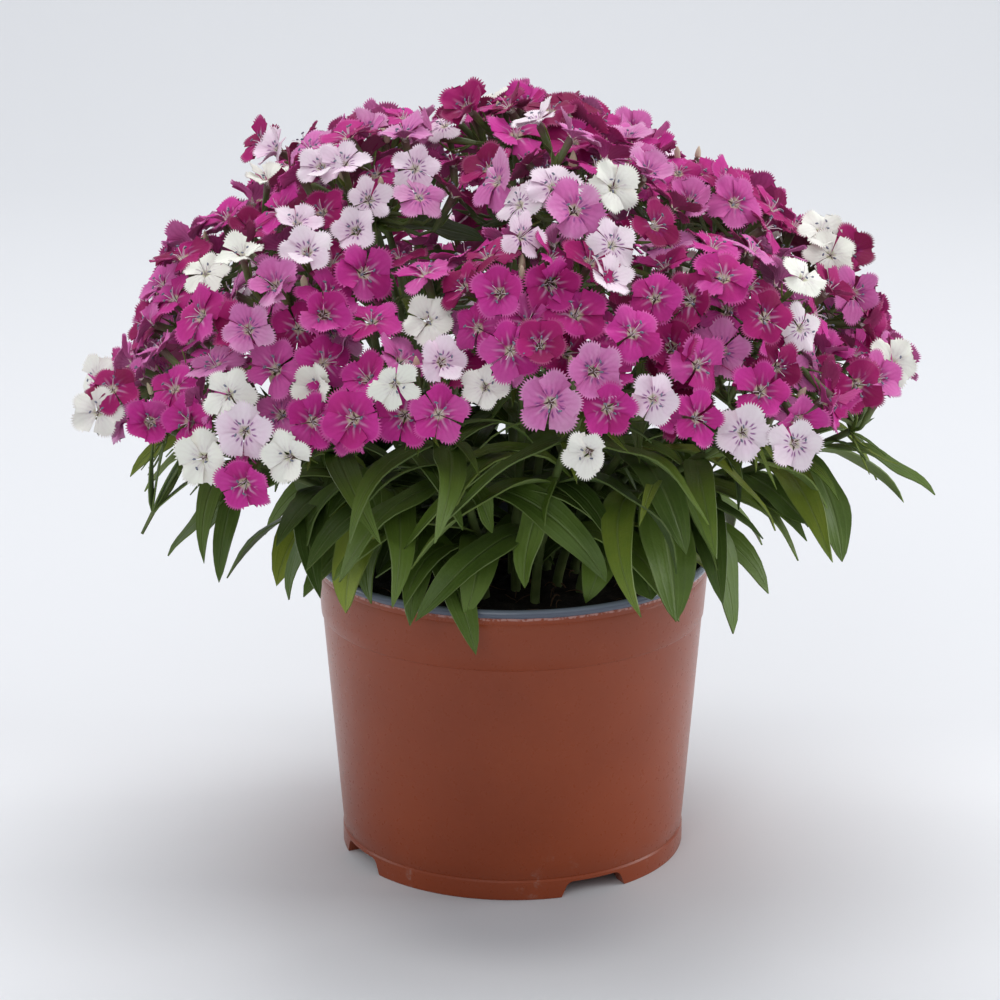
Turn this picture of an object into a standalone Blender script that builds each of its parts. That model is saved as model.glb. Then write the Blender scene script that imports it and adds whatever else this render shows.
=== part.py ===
# A potted dianthus in flower: a thermoformed plastic pot, its peat, leafy stems that
# rise from the peat, and on each stem a head of five-petalled flowers.
# Metres, +Z up. The origin is the middle of the pot's foot, on the table, and -Y is the front.

import itertools
import math
import random

import bmesh
import bpy
from mathutils import Matrix, Quaternion, Vector
from mathutils.bvhtree import BVHTree

# Pot
RIM_RADIUS = 0.075
POT_HEIGHT = 0.118
BASE_RADIUS = 0.0655
WALL = 0.0014
FOOT_HEIGHT = 0.0075
FOOT_STANDS_OUT = 0.0009
FOOT_WIDTH = 0.006
COLLAR_HEIGHT = 0.0235
COLLAR_STEP = 0.0005
BEAD_HEIGHT = 0.0032
BEAD_STANDS_OUT = 0.0014
CORNER = 0.0008
NOTCH_COUNT = 4
FIRST_NOTCH_DEG = 28.0
NOTCH_WIDTH = {"top": 0.022, "foot": 0.028}
DRAIN_RADIUS = 0.005
DRAIN_INSET = 0.0156
POT_SIDES = 32

# Peat
PEAT_LEVEL = 0.1075
PEAT_MOUND = 0.0019
PEAT_WAVE = {"height": 0.0007, "across": 170.0, "along": 150.0, "slant": 310.0}
PEAT_SIDES = 17
PEAT_SIDE_GAP = 0.0009
GAP = 0.0003

# The dome of flowers: half an ellipsoid, on which the heads stand in rings.
# Azimuths go from the front (-Y) towards the right (+X).
DOME_RADIUS = 0.139
DOME_HEIGHT = 0.101
DOME_BASE = 0.192
HEAD_RINGS = (
    {"count": 1, "polar_deg": 0.0, "start_deg": 0.0},
    {"count": 5, "polar_deg": 30.0, "start_deg": 22.0},
    {"count": 8, "polar_deg": 57.0, "start_deg": 0.0},
    {"count": 12, "polar_deg": 82.0, "start_deg": 15.0},
)
# Where the plant leans out or sags: a bulge fades to nothing over its width.
BULGES = (
    {"azimuth_deg": -90.0, "width_deg": 55.0, "reach": 0.021, "rise": -0.018},
    {"azimuth_deg": 90.0, "width_deg": 60.0, "reach": 0.016, "rise": -0.016},
    {"azimuth_deg": 180.0, "width_deg": 60.0, "reach": 0.004, "rise": -0.010},
    {"azimuth_deg": 0.0, "width_deg": 50.0, "reach": -0.004, "rise": 0.014},
)
HEAD_LIFT = 0.42
HEAD_JITTER = 0.003
SEED = 11

# A head: a five-sided core with one flower on its top and five round it
CORE_TOP = {"radius": 0.0030, "z": 0.0040}
CORE_WAIST = {"radius": 0.0060, "z": -0.0020}
CORE_FOOT = {"radius": 0.0024, "z": -0.0090}
TOP_FLOWER_RISE = 0.0160
RING_FLOWER_REACH = 0.0250
RING_FLOWER_RISE = 0.0060
RING_FLOWER_TILT_DEG = 36.0

# A flower
PETALS = 5
FLOWER_RADIUS = 0.0155
PETAL_HALF_DEG = 28.0
NOTCH_SHARE = 0.42
PETAL_THICKNESS = 0.0008
THROAT_DEPTH = 0.0012
NECK = {"radius": 0.0016, "z": -0.0032}
PETAL_LIFT_DEG = (-4.0, 14.0)
FLOWER_CLEARANCE = 0.0004
NECK_SHARED = 0.35
TWIST_TRIES_DEG = (0.0, 18.0, 36.0, 54.0)
TILT_TRIES_DEG = (0.0, 8.0, -8.0, 18.0, -18.0)
SHIFT_TRIES_DEG = (0.0, 7.0, -7.0, 14.0, -14.0)
RISE_TRIES = (0.0, 0.003, -0.003, 0.006)
SIZE_TRIES = (1.0, 0.9, 0.78)

# Stems
STEM_RADIUS = {"foot": 0.0019, "top": 0.0014}
STEM_SIDES = 4
STEM_STEPS = 4
JOINT_HEIGHT = 0.0017
JOINT_SWELL = 1.2
STEM_DEPTH = 0.012
HOLE_CLEARANCE = 0.0006
STEM_SPREAD = (0.0, 0.013, 0.024, 0.036)

# Leaves, in pairs at the stem's joints. A longer list of pairs goes to the outer stems.
LEAF_THICKNESS = 0.0008
LEAF_FOLD = 0.16
LEAF_CLEARANCE = 0.0005
LEAF_SHARED = 0.08
LEAF_BASE_WIDTH = 0.12
BROAD_SECTIONS = ((0.36, 1.0), (0.70, 0.74))
NARROW_SECTIONS = ((0.30, 0.94), (0.64, 0.80))
LEAF_PAIRS = {
    "low": {"joint": 1, "length": 0.080, "width": 0.0190, "rise_deg": 30.0, "fall_deg": -66.0},
    "middle": {"joint": 2, "length": 0.072, "width": 0.0165, "rise_deg": 22.0, "fall_deg": -72.0},
    "high": {"joint": 3, "length": 0.066, "width": 0.0125, "rise_deg": 16.0, "fall_deg": -60.0},
}
PAIRS_OF_RING = (("middle",), ("low",), ("middle",), ("low", "middle", "high"))
PAIR_TURN_DEG = {"low": 40.0, "middle": 58.0, "high": 46.0}
TURN_TRIES_DEG = (0.0, 16.0, -16.0, 32.0, -32.0, 50.0, -50.0, 72.0, -72.0, 96.0, -96.0)
DROOP_TRIES_DEG = (0.0, 18.0, -18.0, 34.0)
LENGTH_TRIES = (1.0, 0.85, 0.7)

FLOWER_COLOURS = {
    "magenta": (0.47, 0.012, 0.19, 1.0),
    "orchid": (0.56, 0.085, 0.34, 1.0),
    "blush": (0.80, 0.58, 0.72, 1.0),
    "white": (0.86, 0.86, 0.80, 1.0),
    "crimson": (0.28, 0.006, 0.075, 1.0),
}
COLOUR_TURNS = ("magenta", "orchid", "magenta", "blush", "magenta", "orchid", "crimson", "white")


def clear_scene():
    for obj in list(bpy.data.objects):
        bpy.data.objects.remove(obj)


def material(name, colour, roughness):
    made = bpy.data.materials.get(name) or bpy.data.materials.new(name)
    made.use_nodes = True
    shader = made.node_tree.nodes["Principled BSDF"]
    shader.inputs["Base Color"].default_value = colour
    shader.inputs["Roughness"].default_value = roughness
    shader.inputs["Metallic"].default_value = 0.0
    return made


def add_object(name, shape, surface=None):
    """Turns a bmesh into an object with its faces pointing out."""
    bmesh.ops.recalc_face_normals(shape, faces=shape.faces)
    mesh = bpy.data.meshes.new(name)
    shape.to_mesh(mesh)
    shape.free()
    obj = bpy.data.objects.new(name, mesh)
    bpy.context.scene.collection.objects.link(obj)
    if surface:
        mesh.materials.append(surface)
    return obj


def cut(obj, cutters):
    """Cuts all the cutters from obj, and removes them."""
    group = bpy.data.collections.new("cutters")
    bpy.context.scene.collection.children.link(group)
    for cutter in cutters:
        bpy.context.scene.collection.objects.unlink(cutter)
        group.objects.link(cutter)
    modifier = obj.modifiers.new("cut", "BOOLEAN")
    modifier.operation = "DIFFERENCE"
    modifier.operand_type = "COLLECTION"
    modifier.collection = group
    modifier.solver = "EXACT"
    bpy.context.view_layer.objects.active = obj
    bpy.ops.object.modifier_apply(modifier=modifier.name)
    for cutter in cutters:
        bpy.data.objects.remove(cutter)
    bpy.data.collections.remove(group)


def turned_body(profile, sides):
    """A closed body turned about Z from (radius, z) points. Both ends lie on the axis."""
    shape = bmesh.new()
    points = [shape.verts.new((radius, 0.0, z)) for radius, z in profile]
    edges = [shape.edges.new(pair) for pair in zip(points, points[1:])]
    bmesh.ops.spin(
        shape,
        geom=points + edges,
        cent=(0.0, 0.0, 0.0),
        axis=(0.0, 0.0, 1.0),
        angle=math.tau,
        steps=sides,
    )
    bmesh.ops.remove_doubles(shape, verts=shape.verts, dist=1e-6)
    return shape


def level(azimuth):
    """The level direction at an azimuth, from the front (-Y) towards the right (+X)."""
    return Vector((math.sin(azimuth), -math.cos(azimuth), 0.0))


def wall_radius(z):
    """The outer radius of the pot's plain wall at a height."""
    return BASE_RADIUS + (RIM_RADIUS - BASE_RADIUS) * z / POT_HEIGHT


def pot_profile():
    foot = BASE_RADIUS + FOOT_STANDS_OUT
    collar = POT_HEIGHT - COLLAR_HEIGHT
    bead = POT_HEIGHT - BEAD_HEIGHT
    floor = FOOT_HEIGHT + WALL
    return [
        (0.0, FOOT_HEIGHT - WALL),
        (foot - FOOT_WIDTH, FOOT_HEIGHT - WALL),
        (foot - FOOT_WIDTH, 0.0),
        (foot, 0.0),
        (foot, FOOT_HEIGHT),
        (wall_radius(FOOT_HEIGHT), FOOT_HEIGHT + CORNER),
        (wall_radius(collar), collar - CORNER),
        (wall_radius(collar) + COLLAR_STEP, collar),
        (wall_radius(bead) + COLLAR_STEP, bead),
        (RIM_RADIUS + BEAD_STANDS_OUT, bead + CORNER),
        (RIM_RADIUS + BEAD_STANDS_OUT, POT_HEIGHT - CORNER),
        (RIM_RADIUS, POT_HEIGHT),
        (RIM_RADIUS - WALL, POT_HEIGHT - CORNER),
        (wall_radius(floor) - WALL, floor),
        (0.0, floor),
    ]


def notch_cutter(azimuth):
    """A wedge with sloping ends that opens the foot from outside to the hollow under the pot."""
    along = level(azimuth + math.pi / 2)
    below, above = Vector((0, 0, -CORNER)), Vector((0, 0, FOOT_HEIGHT - WALL))
    half_foot, half_top = NOTCH_WIDTH["foot"] / 2, NOTCH_WIDTH["top"] / 2
    shape = bmesh.new()
    rings = []
    for distance in (BASE_RADIUS - 2 * FOOT_WIDTH, BASE_RADIUS + FOOT_WIDTH):
        middle = level(azimuth) * distance
        corners = (
            middle - along * half_foot + below,
            middle + along * half_foot + below,
            middle + along * half_top + above,
            middle - along * half_top + above,
        )
        rings.append([shape.verts.new(corner) for corner in corners])
    shape.faces.new(rings[0])
    shape.faces.new(rings[1])
    for k in range(4):
        shape.faces.new((rings[0][k], rings[0][k - 1], rings[1][k - 1], rings[1][k]))
    return add_object("notch", shape)


def drain_cutter(azimuth):
    middle = level(azimuth) * (BASE_RADIUS - DRAIN_INSET) + Vector((0, 0, FOOT_HEIGHT))
    shape = bmesh.new()
    bmesh.ops.create_cone(
        shape,
        cap_ends=True,
        segments=8,
        radius1=DRAIN_RADIUS,
        radius2=DRAIN_RADIUS,
        depth=4 * WALL,
        matrix=Matrix.Translation(middle),
    )
    return add_object("drain", shape)


def make_pot():
    terracotta = material("terracotta_plastic", (0.30, 0.085, 0.045, 1.0), 0.38)
    pot = add_object("pot", turned_body(pot_profile(), POT_SIDES), terracotta)
    cutters = []
    for k in range(NOTCH_COUNT):
        azimuth = math.radians(FIRST_NOTCH_DEG + 360.0 * k / NOTCH_COUNT)
        cutters += [notch_cutter(azimuth), drain_cutter(azimuth)]
    cut(pot, cutters)
    pot.data.shade_smooth()
    pot.data.set_sharp_from_angle(angle=math.radians(35))
    return pot


def peat_height(x, y):
    """The crumbly surface: a low mound with small waves."""
    mound = 1.0 - (x * x + y * y) / RIM_RADIUS**2
    waves = math.sin(PEAT_WAVE["across"] * x + 1.0) * math.cos(PEAT_WAVE["along"] * y)
    waves += 0.6 * math.sin(PEAT_WAVE["slant"] * y + PEAT_WAVE["across"] * x)
    return PEAT_LEVEL + PEAT_MOUND * mound + PEAT_WAVE["height"] * waves


def hole_cutter(stem):
    """A square hole, from just under the stem's foot to well above the peat."""
    foot = stem["route"][0]
    depth = 2 * STEM_DEPTH
    turn = Matrix.Rotation(stem["head"]["azimuth"], 4, "Z")
    shape = bmesh.new()
    bmesh.ops.create_cone(
        shape,
        cap_ends=True,
        segments=STEM_SIDES,
        radius1=STEM_RADIUS["foot"] + HOLE_CLEARANCE,
        radius2=STEM_RADIUS["foot"] + HOLE_CLEARANCE,
        depth=depth,
        matrix=Matrix.Translation((foot.x, foot.y, foot.z - GAP + depth / 2)) @ turn,
    )
    return add_object("hole", shape)


def make_peat(stems):
    floor = FOOT_HEIGHT + WALL + GAP
    inset = WALL + PEAT_SIDE_GAP
    edge = wall_radius(PEAT_LEVEL) - inset
    profile = [
        (0.0, floor),
        (wall_radius(floor) - inset, floor),
        (edge, PEAT_LEVEL),
        (0.6 * edge, PEAT_LEVEL),
        (0.0, PEAT_LEVEL),
    ]
    shape = turned_body(profile, PEAT_SIDES)
    for point in shape.verts:
        if point.co.z > PEAT_LEVEL / 2:
            point.co.z = peat_height(point.co.x, point.co.y)
    peat = add_object("peat", shape, material("peat", (0.020, 0.013, 0.010, 1.0), 0.95))
    cut(peat, [hole_cutter(stem) for stem in stems])
    return peat


def bulge(azimuth, what):
    """How far the plant leans out or sags at an azimuth, the sum of its bulges."""
    total = 0.0
    for facts in BULGES:
        off = math.degrees(azimuth) - facts["azimuth_deg"]
        off = abs((off + 180) % 360 - 180) / facts["width_deg"]
        total += facts[what] * (1 - min(off, 1.0) ** 2) ** 2
    return total


def plan_heads():
    """Where each head stands on the dome: its core's middle, its axis, its twist and its size."""
    draw = random.Random(SEED)
    heads = []
    names = list(FLOWER_COLOURS)
    for ring_index, ring in enumerate(HEAD_RINGS):
        for k in range(ring["count"]):
            azimuth = math.radians(ring["start_deg"] + 360.0 * k / ring["count"])
            azimuth += draw.uniform(-1, 1) * math.radians(3.0) * (ring_index > 0)
            polar = math.radians(ring["polar_deg"] + draw.uniform(-1.5, 1.5))
            low = math.sin(polar) ** 3
            surface = level(azimuth) * math.sin(polar) * (DOME_RADIUS + bulge(azimuth, "reach") * low)
            surface.z = DOME_BASE + DOME_HEIGHT * math.cos(polar) + bulge(azimuth, "rise") * low
            surface.z += draw.uniform(-1, 1) * HEAD_JITTER
            normal = level(azimuth) * math.sin(polar) / DOME_RADIUS
            normal.z = math.cos(polar) / DOME_HEIGHT
            axis = (normal.normalized() + Vector((0, 0, HEAD_LIFT))).normalized()
            head = {
                "name": f"head_{len(heads) + 1:02d}",
                "ring": ring_index,
                "azimuth": azimuth,
                "axis": axis,
                "core": surface - axis * TOP_FLOWER_RISE,
                "twist": draw.uniform(0, math.tau / PETALS),
                "size": draw.uniform(0.97, 1.03),
                "colours": [names.index(draw.choice(COLOUR_TURNS)) for _ in range(PETALS + 1)],
                "flowers": [],
            }
            head["matrix"] = head_matrix(head)
            heads.append(head)
    return heads


def bezier(a, b, c, d, t):
    s = 1.0 - t
    return a * s**3 + b * 3 * s * s * t + c * 3 * s * t * t + d * t**3


def plan_stem(head):
    """The stem's route: straight up out of its hole, then a curve to the foot of its head."""
    foot = level(head["azimuth"]) * STEM_SPREAD[head["ring"]]
    foot.z = PEAT_LEVEL
    top = head["core"] + head["axis"] * (CORE_FOOT["z"] * head["size"] - GAP)
    rise = (top - foot).length
    start = foot + Vector((0, 0, 0.003))
    bend_low = start + (level(head["azimuth"]) * 0.25 + Vector((0, 0, 1))) * rise * 0.30
    bend_high = top - head["axis"] * rise * 0.36
    route = [foot - Vector((0, 0, STEM_DEPTH))]
    route += [bezier(start, bend_low, bend_high, top, k / STEM_STEPS) for k in range(STEM_STEPS + 1)]
    name = head["name"].replace("head", "stem")
    return {"name": name, "head": head, "route": route, "leaves": []}


def stem_rings(stem, extra=0.0):
    """Rings of points up the stem. A joint has two, close together, a little swollen."""
    route = stem["route"]
    side = Vector((0, 0, 1)).cross(level(stem["head"]["azimuth"]))
    rings = []
    for k, point in enumerate(route):
        if k < 2:
            ahead = Vector((0, 0, 1))
        elif k == len(route) - 1:
            ahead = stem["head"]["axis"]
        else:
            ahead = (route[k + 1] - route[k - 1]).normalized()
        front = side.cross(ahead).normalized()
        share = k / (len(route) - 1)
        radius = STEM_RADIUS["foot"] * (1 - share) + STEM_RADIUS["top"] * share + extra
        is_joint = 1 < k < len(route) - 1
        for half in (-0.5, 0.5) if is_joint else (0.0,):
            ring = []
            for n in range(STEM_SIDES):
                turn = math.tau * n / STEM_SIDES
                offset = (side * math.cos(turn) + front * math.sin(turn)) * radius
                offset *= JOINT_SWELL if is_joint else 1.0
                ring.append(point + offset + ahead * half * JOINT_HEIGHT)
            rings.append(ring)
    return rings


def joint_band(joint):
    """The place, among a stem's bands of faces, of the band that a joint's leaves grow from."""
    return 2 * joint


def side_azimuth(stem, band, side):
    """The azimuth that one of a band's four faces looks to."""
    ring = stem_rings(stem)[band]
    spoke = ring[side] + ring[side - 1] - sum(ring, Vector()) / STEM_SIDES * 2
    return math.atan2(spoke.x, -spoke.y)


def leaf_point(leaf, share):
    """A point of the leaf's midline, an arc that leaves the stem rising and ends falling."""
    rise, fall = leaf["rise"], leaf["fall"]
    angle = rise + (fall - rise) * share
    bend = leaf["length"] / (fall - rise)
    out = bend * (math.sin(angle) - math.sin(rise))
    up = -bend * (math.cos(angle) - math.cos(rise))
    place = leaf["root"] + level(leaf["azimuth"]) * out + Vector((0, 0, up))
    along = level(leaf["azimuth"]) * math.cos(angle) + Vector((0, 0, math.sin(angle)))
    return place, along


def leaf_row(leaf, share, width_share, extra):
    """The left, middle and right points of a row across the leaf, on its upper and lower face."""
    side = level(leaf["azimuth"] + math.pi / 2)
    place, along = leaf_point(leaf, share)
    up = side.cross(along)
    up = up if up.z > 0 else -up
    half = leaf["width"] / 2 * width_share + extra
    fold = up * half * LEAF_FOLD
    row = [place - side * half + fold, place, place + side * half + fold]
    thickness = up * (LEAF_THICKNESS / 2 + extra)
    return [point + thickness for point in row], [point - thickness for point in row]


def add_leaf(shape, leaf, base, extra=0.0):
    """A blade folded up along its rib, from a base of two upper and two lower points."""
    rows = [leaf_row(leaf, share, width, extra) for share, width in leaf["sections"]]
    tip = leaf_row(leaf, 1.0, 0.0, 0.0)
    sides = []
    for upper_or_lower in (0, 1):
        left, right = base[upper_or_lower]
        faces = [[shape.verts.new(p) for p in row[upper_or_lower]] for row in rows]
        point = shape.verts.new(tip[upper_or_lower][1])
        first = faces[0]
        shape.faces.new((left, first[0], first[1]))
        shape.faces.new((left, first[1], right))
        shape.faces.new((right, first[1], first[2]))
        for near, far in zip(faces, faces[1:]):
            for edge in (0, 2):
                shape.faces.new((near[1], near[edge], far[edge]))
                shape.faces.new((near[1], far[edge], far[1]))
        for edge in (0, 2):
            shape.faces.new((faces[-1][1], faces[-1][edge], point))
        sides.append(
            (
                [left] + [row[0] for row in faces] + [point],
                [right] + [row[2] for row in faces] + [point],
            )
        )
    for upper, lower in zip(*sides):
        for k in range(len(upper) - 1):
            shape.faces.new((upper[k], upper[k + 1], lower[k + 1], lower[k]))


def leaf_tree(leaf, start):
    """A leaf with its clearance round it, for the tests, from a share of its length on."""
    shape = bmesh.new()
    base = []
    for left, _, right in leaf_row(leaf, start, LEAF_BASE_WIDTH, LEAF_CLEARANCE):
        base.append((shape.verts.new(left), shape.verts.new(right)))
    shape.faces.new((*base[0], base[1][1], base[1][0]))
    add_leaf(shape, leaf, base, LEAF_CLEARANCE)
    return tree_of(shape)


def stem_tree(stem):
    shape = bmesh.new()
    rings = [[shape.verts.new(p) for p in ring] for ring in stem_rings(stem, LEAF_CLEARANCE)]
    for low, high in zip(rings, rings[1:]):
        for n in range(STEM_SIDES):
            shape.faces.new((low[n - 1], low[n], high[n], high[n - 1]))
    return tree_of(shape)


def tree_of(shape):
    tree = BVHTree.FromBMesh(shape)
    shape.free()
    return tree


def tree_of_object(obj):
    shape = bmesh.new()
    shape.from_mesh(obj.data)
    shape.transform(obj.matrix_basis)
    return tree_of(shape)


class Room:
    """What already stands in the way, piece by piece."""

    def __init__(self):
        self.trees = []

    def add(self, owner, tree):
        self.trees.append((owner, tree))

    def has_space(self, tree, owner):
        """True where a piece meets nothing but its owner."""
        return not any(tree.overlap(other) for name, other in self.trees if name != owner)


def leaf_tries(stem, pair, side):
    """The same leaf turned, drooped and shortened in turn, the likeliest first."""
    facts = LEAF_PAIRS[pair]
    band = joint_band(facts["joint"])
    taken = [leaf["face"] for leaf in stem["leaves"] if leaf["band"] == band]
    free = [n for n in range(STEM_SIDES) if n not in taken]
    looks = {n: side_azimuth(stem, band, n) for n in free}
    for length, droop, turn in itertools.product(LENGTH_TRIES, DROOP_TRIES_DEG, TURN_TRIES_DEG):
        azimuth = stem["head"]["azimuth"] + side * math.radians(PAIR_TURN_DEG[pair] + turn)
        yield {
            "band": band,
            "face": max(free, key=lambda n: math.cos(looks[n] - azimuth)),
            "root": stem["route"][facts["joint"] + 1],
            "azimuth": azimuth,
            "sections": NARROW_SECTIONS if pair == "high" else BROAD_SECTIONS,
            "length": facts["length"] * length,
            "width": facts["width"] * (0.5 + 0.5 * length),
            "rise": math.radians(facts["rise_deg"] + 0.4 * droop),
            "fall": math.radians(facts["fall_deg"] + droop),
        }


def plan_leaves(stems, room):
    """Gives every joint its pair of leaves. A leaf that would meet something is bent clear."""
    for ring, pairs in reversed(list(enumerate(PAIRS_OF_RING))):
        for stem in stems:
            if stem["head"]["ring"] != ring:
                continue
            own = [stem_tree(stem)]
            for pair, side in itertools.product(pairs, (1, -1)):
                for leaf in leaf_tries(stem, pair, side):
                    outer = leaf_tree(leaf, LEAF_SHARED)
                    if any(outer.overlap(other) for other in own):
                        continue
                    whole = leaf_tree(leaf, LEAF_SHARED / 8)
                    if room.has_space(whole, stem["name"]):
                        stem["leaves"].append(leaf)
                        own.append(outer)
                        room.add(stem["name"], whole)
                        break


def core_rings(head):
    """The three rings of points of a head's core, from its top down, the axis along +Z."""
    rings = []
    for facts in (CORE_TOP, CORE_WAIST, CORE_FOOT):
        radius = facts["radius"] * head["size"]
        ring = []
        for k in range(PETALS):
            turn = math.tau * k / PETALS
            height = facts["z"] * head["size"]
            ring.append(Vector((radius * math.cos(turn), radius * math.sin(turn), height)))
        rings.append(ring)
    return rings


def flower_root(head, number):
    """The points of the core's face that flower 0, on top, or 1 to 5, round it, grows from."""
    top, waist, _ = core_rings(head)
    if number == 0:
        return top
    k = number - 1
    return [top[k - 1], top[k], waist[k], waist[k - 1]]


def outline_points(flower, extra):
    """Each petal's two corners, and the notch between it and the next."""
    half = math.radians(PETAL_HALF_DEG)
    points = []
    for petal, lift in enumerate(flower["lifts"]):
        middle = math.tau * petal / PETALS
        radius = FLOWER_RADIUS * flower["size"] + extra
        rise = radius * math.sin(lift)
        notch = FLOWER_RADIUS * flower["size"] * NOTCH_SHARE + extra
        for turn, reach, height in (
            (middle - half, radius, rise),
            (middle + half, radius, rise),
            (middle + math.pi / PETALS, notch, 0.0),
        ):
            points.append(Vector((reach * math.cos(turn), reach * math.sin(turn), height)))
    return points


def add_flower(shape, flower, root, extra=0.0):
    """One flower: a neck from the core's face, and five petals in one plate."""
    place = flower["place"]
    back = place.inverted()
    middle = sum((back @ v.co for v in root), Vector()) / len(root)
    neck = []
    for vertex in root:
        spoke = (back @ vertex.co) - middle
        spoke.z = 0.0
        spot = spoke.normalized() * (NECK["radius"] + extra) + Vector((0, 0, NECK["z"]))
        neck.append(shape.verts.new(place @ spot))
    faces = []
    for k in range(len(neck)):
        faces.append(shape.faces.new((root[k - 1], root[k], neck[k], neck[k - 1])))
    thickness = Vector((0, 0, PETAL_THICKNESS + 2 * extra))
    spots = [spot + Vector((0, 0, extra)) for spot in outline_points(flower, extra)]
    upper = [shape.verts.new(place @ spot) for spot in spots]
    lower = [shape.verts.new(place @ (spot - thickness)) for spot in spots]
    throat = shape.verts.new(place @ Vector((0, 0, extra - THROAT_DEPTH)))
    for k in range(len(upper)):
        faces.append(shape.faces.new((upper[k - 1], upper[k], throat)))
        faces.append(shape.faces.new((upper[k - 1], upper[k], lower[k], lower[k - 1])))
    faces += fan(shape, neck, lower, back)
    return faces


def fan(shape, ring, outline, back):
    """Faces from a short ring to a long outline round it, each outline point to the nearest."""
    def turn_of(vertex):
        spot = back @ vertex.co
        return math.atan2(spot.y, spot.x)

    def nearest(vertex):
        turn = turn_of(vertex)
        return min(
            ring,
            key=lambda near: abs((turn_of(near) - turn + math.pi) % math.tau - math.pi),
        )

    faces = []
    for k, there in enumerate(outline):
        here = outline[k - 1]
        a, b = nearest(here), nearest(there)
        faces.append(shape.faces.new((here, there, a)))
        if a != b:
            faces.append(shape.faces.new((there, b, a)))
    return faces


def flower_tries(head, number, draw):
    """Where a flower may stand on its head: the likeliest place first, then small moves from it."""
    size = head["size"]
    twist = draw.uniform(0, 360)
    lifts = [math.radians(draw.uniform(*PETAL_LIFT_DEG)) for _ in range(PETALS)]
    tilt = draw.uniform(-5, 5)
    moves = itertools.product(
        SIZE_TRIES, RISE_TRIES, SHIFT_TRIES_DEG, TILT_TRIES_DEG, TWIST_TRIES_DEG
    )
    for shrink, rise, shift, lean, turn in moves:
        spin = Matrix.Rotation(math.radians(twist + turn), 4, "Z")
        if number == 0:
            tip = Matrix.Rotation(math.radians(tilt + lean), 4, "Y")
            place = Matrix.Translation((0, 0, TOP_FLOWER_RISE * size + rise)) @ tip
        else:
            around = math.tau * (number - 1.5) / PETALS + math.radians(shift)
            place = Matrix.Rotation(around, 4, "Z")
            reach = RING_FLOWER_REACH * size
            place = place @ Matrix.Translation((reach, 0, RING_FLOWER_RISE * size + rise))
            slope = math.radians(RING_FLOWER_TILT_DEG + tilt + lean)
            place = place @ Matrix.Rotation(slope, 4, "Y")
        yield {"place": place @ spin, "lifts": lifts, "size": shrink, "number": number}


def flower_tree(head, flower, start):
    """A flower with its clearance round it, for the tests. Its neck starts clear of the core."""
    shape = bmesh.new()
    middle = flower["place"] @ Vector((0, 0, NECK["z"]))
    root = [shape.verts.new(p.lerp(middle, start)) for p in flower_root(head, flower["number"])]
    add_flower(shape, flower, root, FLOWER_CLEARANCE)
    shape.transform(head["matrix"])
    return tree_of(shape)


def plan_flowers(heads, room):
    """Stands six flowers on every head. A flower that would meet another is moved clear."""
    draw = random.Random(SEED + 1)
    for head in heads:
        own = []
        for number in range(PETALS + 1):
            for flower in flower_tries(head, number, draw):
                outer = flower_tree(head, flower, NECK_SHARED)
                if any(outer.overlap(other) for other in own):
                    continue
                whole = flower_tree(head, flower, NECK_SHARED / 8)
                if room.has_space(whole, head["name"]):
                    head["flowers"].append(flower)
                    own.append(outer)
                    room.add(head["name"], whole)
                    break


def head_matrix(head):
    stand = Vector((0, 0, 1)).rotation_difference(head["axis"])
    twist = Quaternion((0, 0, 1), head["twist"])
    return Matrix.Translation(head["core"]) @ (stand @ twist).to_matrix().to_4x4()


def make_head(head, surfaces):
    shape = bmesh.new()
    top, waist, foot = [[shape.verts.new(p) for p in ring] for ring in core_rings(head)]
    shape.faces.new(foot)
    for k in range(PETALS):
        shape.faces.new((waist[k - 1], waist[k], foot[k], foot[k - 1]))
    flowers = {flower["number"]: flower for flower in head["flowers"]}
    for number in range(PETALS + 1):
        k = number - 1
        root = top if number == 0 else [top[k - 1], top[k], waist[k], waist[k - 1]]
        if number not in flowers:
            shape.faces.new(root)
            continue
        for face in add_flower(shape, flowers[number], root):
            face.material_index = head["colours"][number]
    obj = add_object(head["name"], shape)
    for surface in surfaces:
        obj.data.materials.append(surface)
    obj.matrix_basis = head["matrix"]


def make_stem(stem, surface):
    """The stem with its leaves, each grown from a face of a joint."""
    shape = bmesh.new()
    rings = [[shape.verts.new(p) for p in ring] for ring in stem_rings(stem)]
    shape.faces.new(rings[0])
    shape.faces.new(rings[-1])
    leaves = {(leaf["band"], leaf["face"]): leaf for leaf in stem["leaves"]}
    for band, (low, high) in enumerate(zip(rings, rings[1:])):
        for n in range(STEM_SIDES):
            leaf = leaves.get((band, n))
            if not leaf:
                shape.faces.new((low[n - 1], low[n], high[n], high[n - 1]))
                continue
            right = level(leaf["azimuth"] + math.pi / 2)
            turned_over = (low[n].co - low[n - 1].co).dot(right) < 0
            left_first = (n, n - 1) if turned_over else (n - 1, n)
            add_leaf(shape, leaf, [[ring[m] for m in left_first] for ring in (high, low)])
    foot = stem["route"][0]
    bmesh.ops.translate(shape, verts=shape.verts, vec=-foot)
    obj = add_object(stem["name"], shape, surface)
    obj.location = foot


def core_tree(head):
    shape = bmesh.new()
    top, waist, foot = [[shape.verts.new(p) for p in ring] for ring in core_rings(head)]
    shape.faces.new(top)
    shape.faces.new(foot)
    for high, low in ((top, waist), (waist, foot)):
        for k in range(PETALS):
            shape.faces.new((high[k - 1], high[k], low[k], low[k - 1]))
    shape.transform(head["matrix"])
    return tree_of(shape)


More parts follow.
